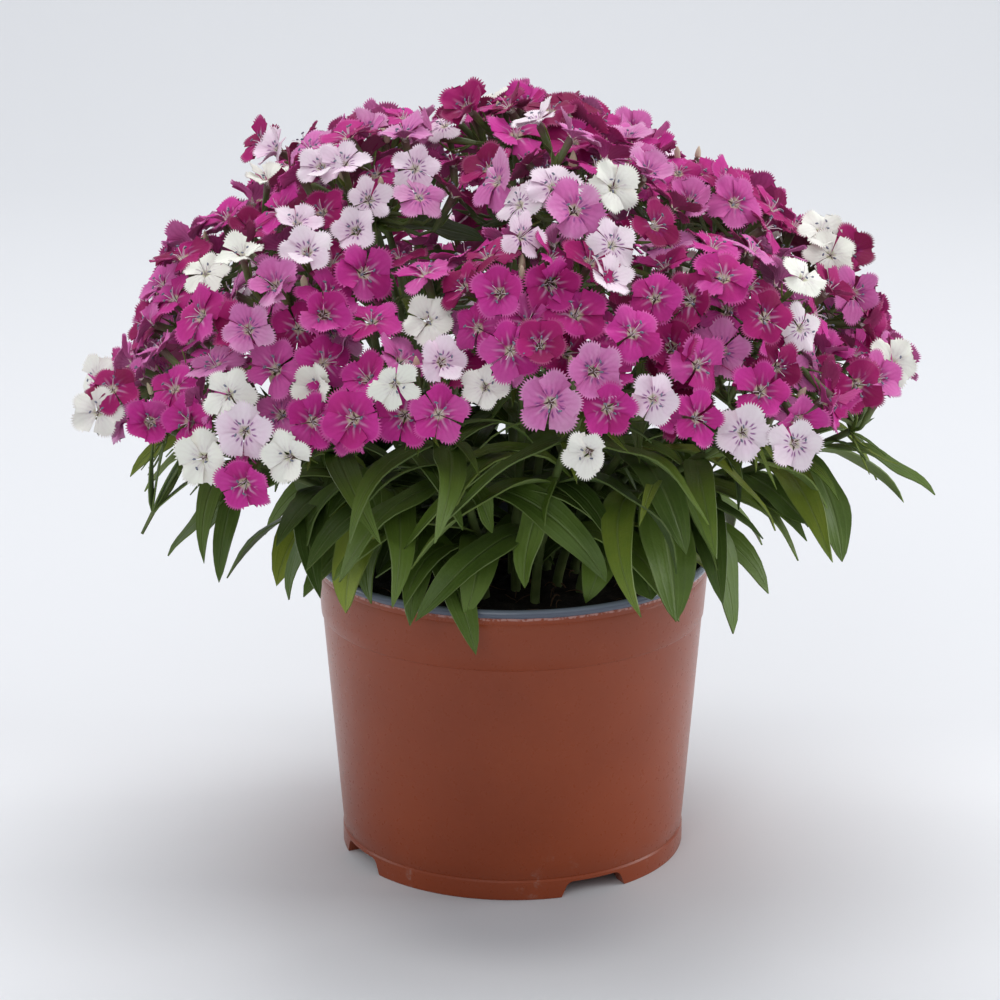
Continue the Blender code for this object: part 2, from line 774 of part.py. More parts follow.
def main():
    clear_scene()
    heads = plan_heads()
    stems = [plan_stem(head) for head in heads]
    room = Room()
    room.add("pot", tree_of_object(make_pot()))
    room.add("peat", tree_of_object(make_peat(stems)))
    for head, stem in zip(heads, stems):
        room.add(head["name"], core_tree(head))
        room.add(stem["name"], stem_tree(stem))
    plan_flowers(heads, room)
    plan_leaves(stems, room)
    petals = [material("petal_" + name, colour, 0.55) for name, colour in FLOWER_COLOURS.items()]
    for head in heads:
        make_head(head, petals)
    green = material("leaf_green", (0.075, 0.13, 0.030, 1.0), 0.45)
    for stem in stems:
        make_stem(stem, green)


main()
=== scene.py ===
import itertools
import math
import random

import bpy
import numpy as np
from mathutils import Matrix, Quaternion, Vector, noise
from mathutils.kdtree import KDTree


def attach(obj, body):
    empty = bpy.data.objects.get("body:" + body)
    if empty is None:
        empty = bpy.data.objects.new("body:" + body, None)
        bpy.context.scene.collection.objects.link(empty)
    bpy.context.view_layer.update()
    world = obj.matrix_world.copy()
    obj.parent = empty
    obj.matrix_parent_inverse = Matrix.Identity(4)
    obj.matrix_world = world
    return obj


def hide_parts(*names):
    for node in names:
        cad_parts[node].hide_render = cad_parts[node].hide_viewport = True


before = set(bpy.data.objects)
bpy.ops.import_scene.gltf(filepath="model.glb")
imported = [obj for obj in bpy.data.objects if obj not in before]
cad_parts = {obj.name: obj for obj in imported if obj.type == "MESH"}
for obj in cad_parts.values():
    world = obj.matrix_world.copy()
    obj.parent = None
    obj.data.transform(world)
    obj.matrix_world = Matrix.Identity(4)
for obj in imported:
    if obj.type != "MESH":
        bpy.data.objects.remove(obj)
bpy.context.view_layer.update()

# The looks of a potted dianthus in flower, built round its solids. Metres, +Z up, -Y is the front.

nearly = 1e-5  # metres within which two places count as one
print("frame loaded")


# Helpers for modelling by operators

def clearSelection():
    if bpy.context.mode != "OBJECT":
        bpy.ops.object.mode_set(mode="OBJECT")
    bpy.ops.object.select_all(action="DESELECT")


def takeUp(*objects):
    # the operators that follow act on these, the first one active
    clearSelection()
    for obj in objects:
        obj.select_set(True)
    bpy.context.view_layer.objects.active = objects[0]


def pick(obj, kind, test):
    # selects the points or edges that pass the test, and stays in edit mode
    takeUp(obj)
    bpy.context.tool_settings.mesh_select_mode = (kind == "point", kind == "edge", False)
    bpy.ops.object.mode_set(mode="EDIT")
    bpy.ops.mesh.select_all(action="DESELECT")
    bpy.ops.object.mode_set(mode="OBJECT")
    mesh = obj.data
    places = [point.co for point in mesh.vertices]
    if kind == "point":
        for point in mesh.vertices:
            point.select = test(point.co)
    else:
        for edge in mesh.edges:
            edge.select = test(places[edge.vertices[0]], places[edge.vertices[1]])
    bpy.ops.object.mode_set(mode="EDIT")


def everywhere(point):
    return True


def resizeAt(obj, test, value, centre=(0, 0, 0)):
    pick(obj, "point", test)
    bpy.ops.transform.resize(value=value, center_override=centre)


def moveAt(obj, test, value):
    pick(obj, "point", test)
    bpy.ops.transform.translate(value=value)


def nameIt(name):
    obj = bpy.context.object
    obj.name = name
    obj.data.name = name
    return obj


def fillIn(sheet, thickness, offset):
    # gives a sheet its thickness, with the second material underneath
    applyModifier(
        sheet, "SOLIDIFY", thickness=thickness, offset=offset, material_offset=1, material_offset_rim=0
    )


def applyModifier(obj, kind, **settings):
    takeUp(obj)
    modifier = obj.modifiers.new(kind.lower(), kind)
    for key, value in settings.items():
        setattr(modifier, key, value)
    bpy.ops.object.modifier_apply(modifier=modifier.name)


def smooth(obj, degrees):
    takeUp(obj)
    bpy.ops.object.shade_smooth_by_angle(angle=math.radians(degrees))


def dress(obj, *materials):
    clearSelection()
    obj.data.materials.clear()
    for material in materials:
        obj.data.materials.append(material)


def copyOf(model):
    # a copy with a mesh of its own
    piece = bpy.data.objects.new(model.name + "Copy", model.data.copy())
    bpy.context.collection.objects.link(piece)
    return piece


def pointsOf(obj):
    points = np.empty(len(obj.data.vertices) * 3)
    obj.data.vertices.foreach_get("co", points)
    return points.reshape(-1, 3)


def movePoints(obj, points):
    obj.data.vertices.foreach_set("co", np.asarray(points, dtype=np.float32).ravel())
    obj.data.update()


def paint(obj, name, value):
    # one number for the whole piece, which its material reads as an attribute
    layer = obj.data.attributes.get(name) or obj.data.attributes.new(name, "FLOAT", "POINT")
    layer.data.foreach_set("value", np.full(len(obj.data.vertices), value, dtype=np.float32))


def joined(name, parts):
    takeUp(*parts)
    bpy.ops.object.join()
    return nameIt(name)


def finishPiece(obj, slot, *nodes):
    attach(obj, "root")
    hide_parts(*nodes)


def ringByRing(name, profile, sides):
    # a disc at the first point of the profile, whose rim is extruded and resized from point to point
    clearSelection()
    bpy.ops.mesh.primitive_circle_add(vertices=sides, radius=profile[0][0], fill_type="TRIFAN")
    obj = nameIt(name)
    pick(obj, "edge", lambda a, b: a.length > 1e-6 and b.length > 1e-6)
    bpy.ops.mesh.select_all(action="SELECT")
    bpy.ops.transform.translate(value=(0, 0, profile[0][1]))
    pick(obj, "edge", lambda a, b: a.xy.length > 1e-6 and b.xy.length > 1e-6)
    for (radius, height), (nextRadius, nextHeight) in zip(profile, profile[1:]):
        bpy.ops.mesh.extrude_edges_move()
        bpy.ops.transform.translate(value=(0, 0, nextHeight - height))
        share = nextRadius / radius
        bpy.ops.transform.resize(value=(share, share, 1), center_override=(0, 0, nextHeight))
    bpy.ops.mesh.merge(type="CENTER")
    bpy.ops.mesh.select_all(action="SELECT")
    bpy.ops.mesh.normals_make_consistent(inside=False)
    clearSelection()
    return obj


# Shader maths, written as plain expressions

class Wire:
    # a socket's value: operators on it add Math nodes
    def __init__(self, kit, socket):
        self.kit = kit
        self.socket = socket

    def sum(self, operation, first, second=0.0):
        return self.kit.node("Math", {"operation": operation}, {0: first, 1: second})

    def __add__(self, other):
        return self.sum("ADD", self, other)

    def __sub__(self, other):
        return self.sum("SUBTRACT", self, other)

    def __mul__(self, other):
        return self.sum("MULTIPLY", self, other)

    def __truediv__(self, other):
        return self.sum("DIVIDE", self, other)

    def __pow__(self, other):
        return self.sum("POWER", self, other)

    def __rsub__(self, other):
        return self.sum("SUBTRACT", other, self)

    def __rtruediv__(self, other):
        return self.sum("DIVIDE", other, self)

    def __abs__(self):
        return self.sum("ABSOLUTE", self)

    __radd__ = __add__
    __rmul__ = __mul__

    def sine(self):
        return self.sum("SINE", self)

    def between(self, low, high):
        # 0 below low, 1 above high, and a smooth step between them; turned round where low is above
        turned = low > high
        low, high = min(low, high), max(low, high)
        settings = {"interpolation_type": "SMOOTHSTEP"}
        values = {0: self, 1: low, 2: high, 3: 1.0 if turned else 0.0, 4: 0.0 if turned else 1.0}
        return self.kit.node("MapRange", settings, values)


class Kit:
    # one material and its nodes
    def __init__(self, name):
        self.material = bpy.data.materials.new(name)
        self.material.use_nodes = True
        self.tree = self.material.node_tree
        self.shader = self.tree.nodes["Principled BSDF"]

    def node(self, kind, settings=None, values=None, output=0):
        made = self.tree.nodes.new("ShaderNode" + kind)
        for key, value in (settings or {}).items():
            if key == "stops":
                self.setStops(made.color_ramp, value)
            else:
                setattr(made, key, value)
        for key, value in (values or {}).items():
            self.feed(made.inputs[key], value)
        return Wire(self, made.outputs[output])

    def setStops(self, ramp, stops):
        while len(ramp.elements) < len(stops):
            ramp.elements.new(1.0)
        for element, (position, colour) in zip(ramp.elements, stops):
            element.position = position
            element.color = (*colour, 1.0)

    def feed(self, socket, value):
        if isinstance(value, Wire):
            self.tree.links.new(value.socket, socket)
        elif hasattr(value, "__len__") and len(value) == 3 and socket.type == "RGBA":
            socket.default_value = (*value, 1.0)
        else:
            socket.default_value = value

    def set(self, **values):
        # feeds the shader's own sockets, named without their spaces
        for socket in self.shader.inputs:
            key = socket.name.replace(" ", "")
            if key in values:
                self.feed(socket, values[key])

    def place(self):
        return self.node("TexCoord", output="Object")

    def axes(self, vector):
        node = self.node("SeparateXYZ", None, {0: vector}).socket.node
        return [Wire(self, node.outputs[k]) for k in range(3)]

    def uv(self):
        return self.axes(self.node("UVMap"))[:2]

    def painted(self, name):
        return self.node("Attribute", {"attribute_name": name}, output="Fac")

    def ramp(self, value, stops):
        return self.node("ValToRGB", {"stops": stops}, {0: value})

    def mix(self, share, first, second, blend="MIX"):
        settings = {"data_type": "RGBA", "blend_type": blend}
        return self.node("Mix", settings, {0: share, 6: first, 7: second}, 2)

    def noise(self, scale, detail=3.0, place=None, roughness=0.5):
        values = {"Vector": place or self.place(), "Scale": scale, "Detail": detail, "Roughness": roughness}
        return self.node("TexNoise", None, values, "Fac")

    def bump(self, height, distance, strength=1.0):
        return self.node("Bump", None, {"Height": height, "Distance": distance, "Strength": strength})


# Where the plant stands: the rule that the solids follow, with its sizes and draws

plant = {
    "seed": 11,
    "domeRadius": 0.139,
    "domeHeight": 0.101,
    "domeBase": 0.192,
    "headRings": ((1, 0.0, 0.0), (5, 30.0, 22.0), (8, 57.0, 0.0), (12, 82.0, 15.0)),  # count, polar, start
    "bulges": (  # azimuth, width, reach, rise
        (-90.0, 55.0, 0.021, -0.018),
        (90.0, 60.0, 0.016, -0.016),
        (180.0, 60.0, 0.004, -0.010),
        (0.0, 50.0, -0.004, 0.014),
    ),
    "headLift": 0.42,
    "headJitter": 0.003,
    "turnJitter": 3.0,
    "polarJitter": 1.5,
    "headSizes": (0.97, 1.03),
    "headTop": 0.016,
    "coreFoot": -0.009,
    "petals": 5,
    "colourTurns": 8,
    "peatLevel": 0.1075,
    "stemSpread": (0.0, 0.013, 0.024, 0.036),
    "stemSteps": 4,
    "stemStart": 0.003,
    "stemLean": 0.25,
    "stemBends": (0.30, 0.36),
    "gap": 0.0003,
}

leafPairs = {
    "low": {"joint": 1, "length": 0.080, "width": 0.0190, "rise": 30.0, "fall": -66.0, "turn": 40.0},
    "middle": {"joint": 2, "length": 0.072, "width": 0.0165, "rise": 22.0, "fall": -72.0, "turn": 58.0},
    "high": {"joint": 3, "length": 0.066, "width": 0.0125, "rise": 16.0, "fall": -60.0, "turn": 46.0},
}
leafTries = {
    "pairsOfRing": (("middle",), ("low",), ("middle",), ("low", "middle", "high")),
    "turns": (0.0, 16.0, -16.0, 32.0, -32.0, 50.0, -50.0, 72.0, -72.0, 96.0, -96.0),
    "droops": (0.0, 18.0, -18.0, 34.0),
    "lengths": (1.0, 0.85, 0.7),
    "thickness": 0.0008,
    "nearEnough": 0.0001,
}


def level(azimuth):
    return Vector((math.sin(azimuth), -math.cos(azimuth), 0.0))


def bulge(azimuth, which):
    total = 0.0
    for facts in plant["bulges"]:
        off = abs((math.degrees(azimuth) - facts[0] + 180) % 360 - 180) / facts[1]
        total += facts[which] * (1 - min(off, 1.0) ** 2) ** 2
    return total


def planHeads():
    draw = random.Random(plant["seed"])
    heads = []
    for ring, (count, polarDegrees, startDegrees) in enumerate(plant["headRings"]):
        for k in range(count):
            azimuth = math.radians(startDegrees + 360.0 * k / count)
            azimuth += draw.uniform(-1, 1) * math.radians(plant["turnJitter"]) * (ring > 0)
            polar = math.radians(polarDegrees + draw.uniform(-plant["polarJitter"], plant["polarJitter"]))
            low = math.sin(polar) ** 3
            surface = level(azimuth) * math.sin(polar) * (plant["domeRadius"] + bulge(azimuth, 2) * low)
            surface.z = plant["domeBase"] + plant["domeHeight"] * math.cos(polar) + bulge(azimuth, 3) * low
            surface.z += draw.uniform(-1, 1) * plant["headJitter"]
            normal = level(azimuth) * math.sin(polar) / plant["domeRadius"]
            normal.z = math.cos(polar) / plant["domeHeight"]
            axis = (normal.normalized() + Vector((0, 0, plant["headLift"]))).normalized()
            twist = draw.uniform(0, math.tau / plant["petals"])
            size = draw.uniform(*plant["headSizes"])
            for _ in range(plant["petals"] + 1):
                draw.choice(range(plant["colourTurns"]))  # the solids draw their petals' colours here
            core = surface - axis * plant["headTop"]
            turn = Vector((0, 0, 1)).rotation_difference(axis) @ Quaternion((0, 0, 1), twist)
            heads.append({
                "number": f"{len(heads) + 1:02d}",
                "ring": ring,
                "azimuth": azimuth,
                "axis": axis,
                "core": core,
                "size": size,
                "matrix": Matrix.Translation(core) @ turn.to_matrix().to_4x4(),
            })
    return heads


def planStem(head):
    foot = level(head["azimuth"]) * plant["stemSpread"][head["ring"]]
    foot.z = plant["peatLevel"]
    top = head["core"] + head["axis"] * (plant["coreFoot"] * head["size"] - plant["gap"])
    rise = (top - foot).length
    start = foot + Vector((0, 0, plant["stemStart"]))
    lean = level(head["azimuth"]) * plant["stemLean"] + Vector((0, 0, 1))
    bendLow = start + lean * rise * plant["stemBends"][0]
    bendHigh = top - head["axis"] * rise * plant["stemBends"][1]
    return {"head": head, "route": (start, bendLow, bendHigh, top)}


def alongRoute(route, shares):
    # points and directions of a bezier curve at an array of shares
    a, b, c, d = (np.array(point) for point in route)
    t = np.asarray(shares, dtype=float).reshape(-1, 1)
    s = 1 - t
    points = a * s**3 + b * 3 * s * s * t + c * 3 * s * t * t + d * t**3
    ahead = 3 * ((b - a) * s * s + 2 * (c - b) * s * t + (d - c) * t * t)
    return points, ahead / np.linalg.norm(ahead, axis=1, keepdims=True)


def pointOnStem(stem, share):
    return Vector(alongRoute(stem["route"], [share])[0][0])


def leafTip(leaf):
    bend = leaf["length"] / (leaf["fall"] - leaf["rise"])
    out = bend * (math.sin(leaf["fall"]) - math.sin(leaf["rise"]))
    up = bend * (math.cos(leaf["rise"]) - math.cos(leaf["fall"]))
    tip = leaf["root"] + level(leaf["azimuth"]) * out + Vector((0, 0, up))
    normal = Vector((0, 0, math.cos(leaf["fall"]))) - level(leaf["azimuth"]) * math.sin(leaf["fall"])
    return tip, normal * (1 if normal.z > 0 else -1)


def leavesOf(stem, tips):
    # the leaves that the solids have: of all the places that the rule tries, those with a tip there
    found = []
    for pair in leafTries["pairsOfRing"][stem["head"]["ring"]]:
        facts = leafPairs[pair]
        root = pointOnStem(stem, facts["joint"] / plant["stemSteps"])
        tries = itertools.product((1, -1), leafTries["lengths"], leafTries["droops"], leafTries["turns"])
        for side, length, droop, turn in tries:
            leaf = {
                "root": root,
                "azimuth": stem["head"]["azimuth"] + side * math.radians(facts["turn"] + turn),
                "length": facts["length"] * length,
                "width": facts["width"] * (0.5 + 0.5 * length),
                "rise": math.radians(facts["rise"] + 0.4 * droop),
                "fall": math.radians(facts["fall"] + droop),
                "broad": pair != "high",
            }
            tip, normal = leafTip(leaf)
            offs = [tips.find(tip + normal * leafTries["thickness"] / 2 * k)[2] for k in (1, -1)]
            if max(offs) < leafTries["nearEnough"]:
                found.append(leaf)
    return found


def tipsOf(node):
    places = KDTree(len(node.data.vertices))
    for k, point in enumerate(node.data.vertices):
        places.insert(point.co, k)
    places.balance()
    return places


# The camera of the photograph

cameraFacts = {
    "place": (0.0, -1.300, 0.5354),
    "pitch": 0.2973,
    "lens": 128.0,
    "sensor": 36.0,
    "shiftX": -0.0126,
    "imageSize": 1000.0,
}


def addCamera():
    upright = (math.pi / 2 - cameraFacts["pitch"], 0, 0)
    bpy.ops.object.camera_add(location=cameraFacts["place"], rotation=upright)
    made = bpy.context.object
    made.name = "photoCamera"
    made.data.lens = cameraFacts["lens"]
    made.data.sensor_width = cameraFacts["sensor"]
    made.data.shift_x = cameraFacts["shiftX"]
    made.data.clip_end = 30.0
    bpy.context.scene.camera = made


def cameraView():
    # its directions ahead and up, its focal length in pixels, and the pixel in its middle
    pitch = cameraFacts["pitch"]
    size = cameraFacts["imageSize"]
    ahead = Vector((0, math.cos(pitch), -math.sin(pitch)))
    up = Vector((0, math.sin(pitch), math.cos(pitch)))
    focal = cameraFacts["lens"] / cameraFacts["sensor"] * size
    return ahead, up, focal, (size * (0.5 - cameraFacts["shiftX"]), size / 2)


def pixelsOf(points):
    ahead, up, focal, middle = cameraView()
    off = np.array(points) - np.array(cameraFacts["place"])
    depth = off @ np.array(ahead)
    across = middle[0] + focal * off[:, 0] / depth
    down = middle[1] - focal * (off @ np.array(up)) / depth
    return np.stack((across, down), axis=1)


def pixelOf(point):
    return Vector(pixelsOf([point])[0])


def rayThrough(pixel):
    ahead, up, focal, middle = cameraView()
    across = Vector(((pixel[0] - middle[0]) / focal, 0, 0))
    return (ahead + across + up * (middle[1] - pixel[1]) / focal).normalized()


def pointAt(pixel, depth):
    # the point that the camera sees at a pixel, on the upright plane y = depth
    eye, ray = Vector(cameraFacts["place"]), rayThrough(pixel)
    return eye + ray * ((depth - eye.y) / ray.y)


# Where each floret stands, which way it looks and its colour

floretPlan = {
    "seed": 7,
    "rings": ((1, 0.0), (6, 0.0140), (13, 0.0290)),  # count and reach of the rings on a head
    "capTop": 0.0160,
    "capBend": 16.0,
    "jitter": 0.0018,
    "unevenTurn": 0.22,
    "leanDegrees": 20.0,
    "leanShare": 0.7,
    "size": (0.94, 1.12),
    "seen": 0.1,  # the least cosine to the camera of a floret that answers to a spot
    "alike": 0.3,  # the least cosine between two florets that look the same way
    "spacing": 0.0180,
    "spotSpacing": 0.0205,
    "pushes": 50,
    "pushShare": 0.22,
    "levelShare": 0.8,
    "farthestMove": 0.013,
    "farthestToSpot": 0.016,
    "towardsCamera": 0.45,
    "beforeOthers": 0.0040,
    "fullFrom": (120.0, 360.0),  # pixels down the picture over which both of these come in
    "fully": (0.15, 1.0),
    "reach": 38.0,  # pixels within which a floret answers to a spot of the photograph
    "depthWeight": 900.0,
    "closest": 0.0112,
    "paleBelow": 0.4,
    "paleSize": 0.90,
}

# How far the dome of florets comes down and out, at azimuths from the front to the right
skirt = {
    "azimuths": (-180, -90, -70, -48, -38, -25, -10, 2, 12, 28, 43, 62, 80, 90, 180),
    "lowest": (
        0.184, 0.180, 0.184, 0.184, 0.185, 0.200, 0.209, 0.226,
        0.210, 0.201, 0.196, 0.201, 0.198, 0.194, 0.184,
    ),
    "farthest": (
        0.141, 0.152, 0.149, 0.145, 0.142, 0.139, 0.137, 0.137,
        0.137, 0.138, 0.140, 0.143, 0.147, 0.148, 0.141,
    ),
    "heights": (0.190, 0.205, 0.220, 0.235, 0.250, 0.270, 0.290),
    "shares": (1.0, 0.94, 0.88, 0.83, 0.75, 0.62, 0.42),
}

# The plant's upper outline as the camera sees it, in pixels, and how far the left shoulder rises to meet it
outline = {
    "across": (
        75, 120, 144, 152, 180, 220, 234, 260, 330, 400, 450,
        515, 580, 640, 680, 740, 800, 855, 870, 905, 925,
    ),
    "top": (
        362, 340, 326, 258, 232, 195, 155, 128, 120, 98, 93,
        85, 93, 113, 146, 166, 208, 268, 300, 332, 380,
    ),
    "inside": 20.0,
    "pixel": 0.00038,
    "shoulder": (205, 236, 300, 360),
    "lift": 0.022,
    "fade": 180.0,
}

# What colour the florets have at some places of the photograph, in its pixels
tintSpots = (
    (0.03, (
        (268, 181), (242, 254), (205, 272), (428, 321), (395, 385), (485, 387), (228, 394), (317, 387),
        (289, 457), (203, 458), (614, 188), (804, 277), (831, 254), (821, 230), (893, 362), (588, 452),
        (97, 377), (98, 412),
    )),
    (0.25, (
        (277, 150), (321, 167), (343, 164), (415, 168), (369, 200), (297, 223), (356, 231), (454, 226),
        (307, 252), (444, 124), (442, 362), (244, 432), (522, 236), (537, 120), (553, 186), (613, 245),
        (607, 279), (654, 399), (743, 433), (795, 444), (518, 204), (802, 328),
    )),
    (0.48, (
        (404, 134), (248, 329), (594, 371), (551, 403), (647, 173), (276, 286), (420, 196), (496, 180),
        (575, 210),
    )),
    (0.72, (
        (371, 321), (200, 315), (364, 273), (411, 276), (150, 422), (189, 422), (174, 388), (313, 422),
        (353, 419), (439, 414), (244, 484), (324, 363), (324, 315), (633, 333), (655, 298), (699, 365),
        (724, 277), (608, 409), (697, 418), (761, 391), (511, 351), (500, 293),
    )),
    (0.92, (
        (112, 388), (262, 142), (332, 262), (540, 345), (468, 108), (590, 262), (690, 300), (765, 318),
        (850, 252),
    )),
)


def onRing(around, far, height):
    return Vector((far * math.cos(around), far * math.sin(around), height))


def capHeight(far):
    # how high the cap of a head's florets stands, this far from its middle
    return floretPlan["capTop"] - floretPlan["capBend"] * far * far


def placesOf(florets):
    return np.array([floret["place"] for floret in florets])


def moveFlorets(florets, places):
    for floret, place in zip(florets, places):
        floret["place"] = Vector(place)


def planFlorets(heads):
    draw = random.Random(floretPlan["seed"])
    lean = math.tan(math.radians(floretPlan["leanDegrees"]))
    uneven = floretPlan["unevenTurn"]
    florets = []
    for head in heads:
        for count, reach in floretPlan["rings"]:
            start = draw.uniform(0, math.tau)
            for k in range(count):
                around = start + math.tau * (k + draw.uniform(-uneven, uneven)) / count
                far = abs(reach * head["size"] + draw.uniform(-1, 1) * floretPlan["jitter"])
                height = capHeight(far) + draw.uniform(-1, 1) * floretPlan["jitter"]
                slope = math.atan(2 * floretPlan["capBend"] * far)
                spot = onRing(around, far, height)
                normal = onRing(around, math.sin(slope), math.cos(slope))
                wobble = Vector([draw.gauss(0, 1) for _ in range(3)]) * lean * floretPlan["leanShare"]
                florets.append({
                    "head": head,
                    "place": head["matrix"] @ spot,
                    "look": (head["matrix"].to_3x3() @ (normal + wobble)).normalized(),
                    "spin": draw.uniform(0, math.tau),
                    "size": draw.uniform(*floretPlan["size"]),
                    "variant": draw.random(),
                    "tint": None,
                    "fixed": False,
                })
    moveFlorets(florets, liftShoulder(placesOf(florets)))
    return florets


def matchSpots(florets):
    # the florets nearest to the photograph's clearest ones take their places and colours
    eye = Vector(cameraFacts["place"])
    for tint, spots in tintSpots:
        for spot in spots:
            near = []
            for floret in florets:
                toEye = (eye - floret["place"]).normalized()
                off = (pixelOf(floret["place"]) - Vector(spot)).length
                free = floret["tint"] is None and floret["look"].dot(toEye) > floretPlan["seen"]
                if free and off < floretPlan["reach"]:
                    near.append((off, (eye - floret["place"]).length, floret))
            if not near:
                continue
            closest = min(depth for _, depth, _ in near)
            best = min(near, key=lambda each: each[0] + floretPlan["depthWeight"] * (each[1] - closest))[2]
            toEye = (eye - best["place"]).normalized()
            facing = (best["look"] + toEye).normalized()
            ray = rayThrough(spot)
            target = eye + ray * ((best["place"] - eye).dot(facing) / ray.dot(facing))
            move = target - best["place"]
            best["place"] += move * min(1.0, floretPlan["farthestToSpot"] / max(move.length, 1e-6))
            fully = np.interp(spot[1], floretPlan["fullFrom"], floretPlan["fully"])
            best["place"] += toEye * floretPlan["beforeOthers"] * fully
            best["look"] = best["look"].lerp(toEye, floretPlan["towardsCamera"] * fully).normalized()
            best["tint"] = tint
            best["size"] *= floretPlan["paleSize"] if tint < floretPlan["paleBelow"] else 1.0
            best["fixed"] = True


def spreadFlorets(florets):
    # florets that stand too close push each other apart, level with their faces
    places = placesOf(florets)
    looks = np.array([floret["look"] for floret in florets])
    fixed = np.array([floret["fixed"] for floret in florets])
    homes = places.copy()
    loose = (~fixed).astype(float)[:, None]
    room = np.where(fixed[:, None] | fixed[None, :], floretPlan["spotSpacing"], floretPlan["spacing"])
    for _ in range(floretPlan["pushes"]):
        gaps = places[:, None, :] - places[None, :, :]
        far = np.linalg.norm(gaps, axis=2) + np.eye(len(places))
        alike = np.clip((looks @ looks.T) - 0.2, 0, 1)
        push = np.clip(room - far, 0, None) * alike * (1 - np.eye(len(places)))
        step = (gaps / far[:, :, None] * push[:, :, None]).sum(axis=1) * floretPlan["pushShare"]
        step -= looks * (step * looks).sum(axis=1, keepdims=True) * floretPlan["levelShare"]
        places += step * loose
        off = places - homes
        size = np.linalg.norm(off, axis=1, keepdims=True) + 1e-9
        places = homes + off * np.minimum(1.0, floretPlan["farthestMove"] / size)
        places = np.where(fixed[:, None], places, insideSkirt(places))
    moveFlorets(florets, places)


def thinOut(florets):
    # of two florets in nearly the same place, the later one goes
    kept = []
    for floret in sorted(florets, key=lambda each: not each["fixed"]):
        crowded = any(
            (other["place"] - floret["place"]).length < floretPlan["closest"]
            and other["look"].dot(floret["look"]) > floretPlan["alike"]
            for other in kept
        )
        if floret["fixed"] or not crowded:
            kept.append(floret)
    return kept


def insideSkirt(places):
    # brings places down and in to the dome's edge and to the plant's outline
    turns = np.degrees(np.arctan2(places[:, 0], -places[:, 1]))
    lowest = np.interp(turns, skirt["azimuths"], skirt["lowest"])
    farthest = np.interp(turns, skirt["azimuths"], skirt["farthest"])
    farthest *= np.interp(places[:, 2], skirt["heights"], skirt["shares"])
    far = np.hypot(places[:, 0], places[:, 1]) + 1e-9
    held = places.copy()
    held[:, :2] *= np.minimum(1.0, farthest / far)[:, None]
    pixels = pixelsOf(held)
    above = np.interp(pixels[:, 0], outline["across"], outline["top"]) + outline["inside"] - pixels[:, 1]
    held[:, 2] -= np.clip(above, 0, None) * outline["pixel"]
    held[:, 2] = np.maximum(held[:, 2], lowest)
    return held


def liftShoulder(places):
    # raises the florets near the left shoulder, most at the outline and less below it
    pixels = pixelsOf(places)
    under = pixels[:, 1] - np.interp(pixels[:, 0], outline["across"], outline["top"])
    share = np.interp(pixels[:, 0], outline["shoulder"], (0, 1, 1, 0))
    share *= np.clip(1 - under / outline["fade"], 0, 1)
    return places + outline["lift"] * share[:, None] * np.array((0, 0, 1))


# The rest are mostly magenta and deeper towards the top and to the right, partly their own colour and partly
# painted shade; chances and tints change with height and side
tints = {
    "white": (0.0, 0.08),
    "blush": (0.22, 0.32),
    "orchid": (0.46, 0.58),
    "magenta": (0.60, 0.78),
    "crimson": (0.84, 1.0),
    "unlike": (-0.03, 0.04),
    "backFrom": 0.02,  # in front of it, the spots alone set the pale ones
    "paleChance": 0.12,
    "whiteShare": 0.4,
    "orchidChance": (0.26, 0.0, -0.06, 0.0),  # at the middle, and added high up, right and upper left
    "crimsonChance": (0.40, 0.14, 0.14, 0.50),
    # deeper tints up high and to the right: partly the florets' own colour, partly painted shade
    "deeper": (0.0, 0.07, 0.08, 0.10),
}


def tintFlorets(florets):
    draw = random.Random(floretPlan["seed"] + 1)
    for floret in florets:
        high = (floret["place"].z - plant["domeBase"]) / plant["domeHeight"]
        chance = draw.random()
        right = floret["place"].x / plant["domeRadius"]
        where = (1.0, high, right, max(0.0, -right) * max(0.0, high))
        orchid, crimson, deeper = (
            sum(share * weight for share, weight in zip(where, tints[name]))
            for name in ("orchidChance", "crimsonChance", "deeper")
        )
        # the magenta deepens with height and side, partly as painted shade
        tint = draw.uniform(*tints["magenta"]) + deeper
        pale = tints["paleChance"] if floret["place"].y > tints["backFrom"] else 0.0
        if chance < pale * tints["whiteShare"]:
            tint = draw.uniform(*tints["white"])
        elif chance < pale:
            tint = draw.uniform(*tints["blush"])
        elif chance < orchid:
            tint = draw.uniform(*tints["orchid"])
        elif chance < crimson:
            tint = draw.uniform(*tints["crimson"])
        if floret["tint"] is None:
            floret["tint"] = min(max(tint, 0.0), 1.0)
        else:
            floret["tint"] += draw.uniform(*tints["unlike"])


# Materials of the flowers

petalColours = {
    "tints": (
        (0.00, (0.88, 0.89, 0.80)),
        (0.16, (0.88, 0.84, 0.84)),
        (0.27, (0.85, 0.69, 0.80)),
        (0.48, (0.65, 0.19, 0.47)),
        (0.70, (0.57, 0.036, 0.30)),
        (0.84, (0.40, 0.013, 0.15)),
        (1.00, (0.20, 0.005, 0.055)),
    ),
    "throat": (0.60, 0.60, 0.40),
    "streak": (0.86, 0.62, 0.80),
    "stain": (0.28, 0.006, 0.11),
    "dash": (0.24, 0.045, 0.24),
    "underside": (0.60, 0.26, 0.42),
    "roughness": 0.62,
}


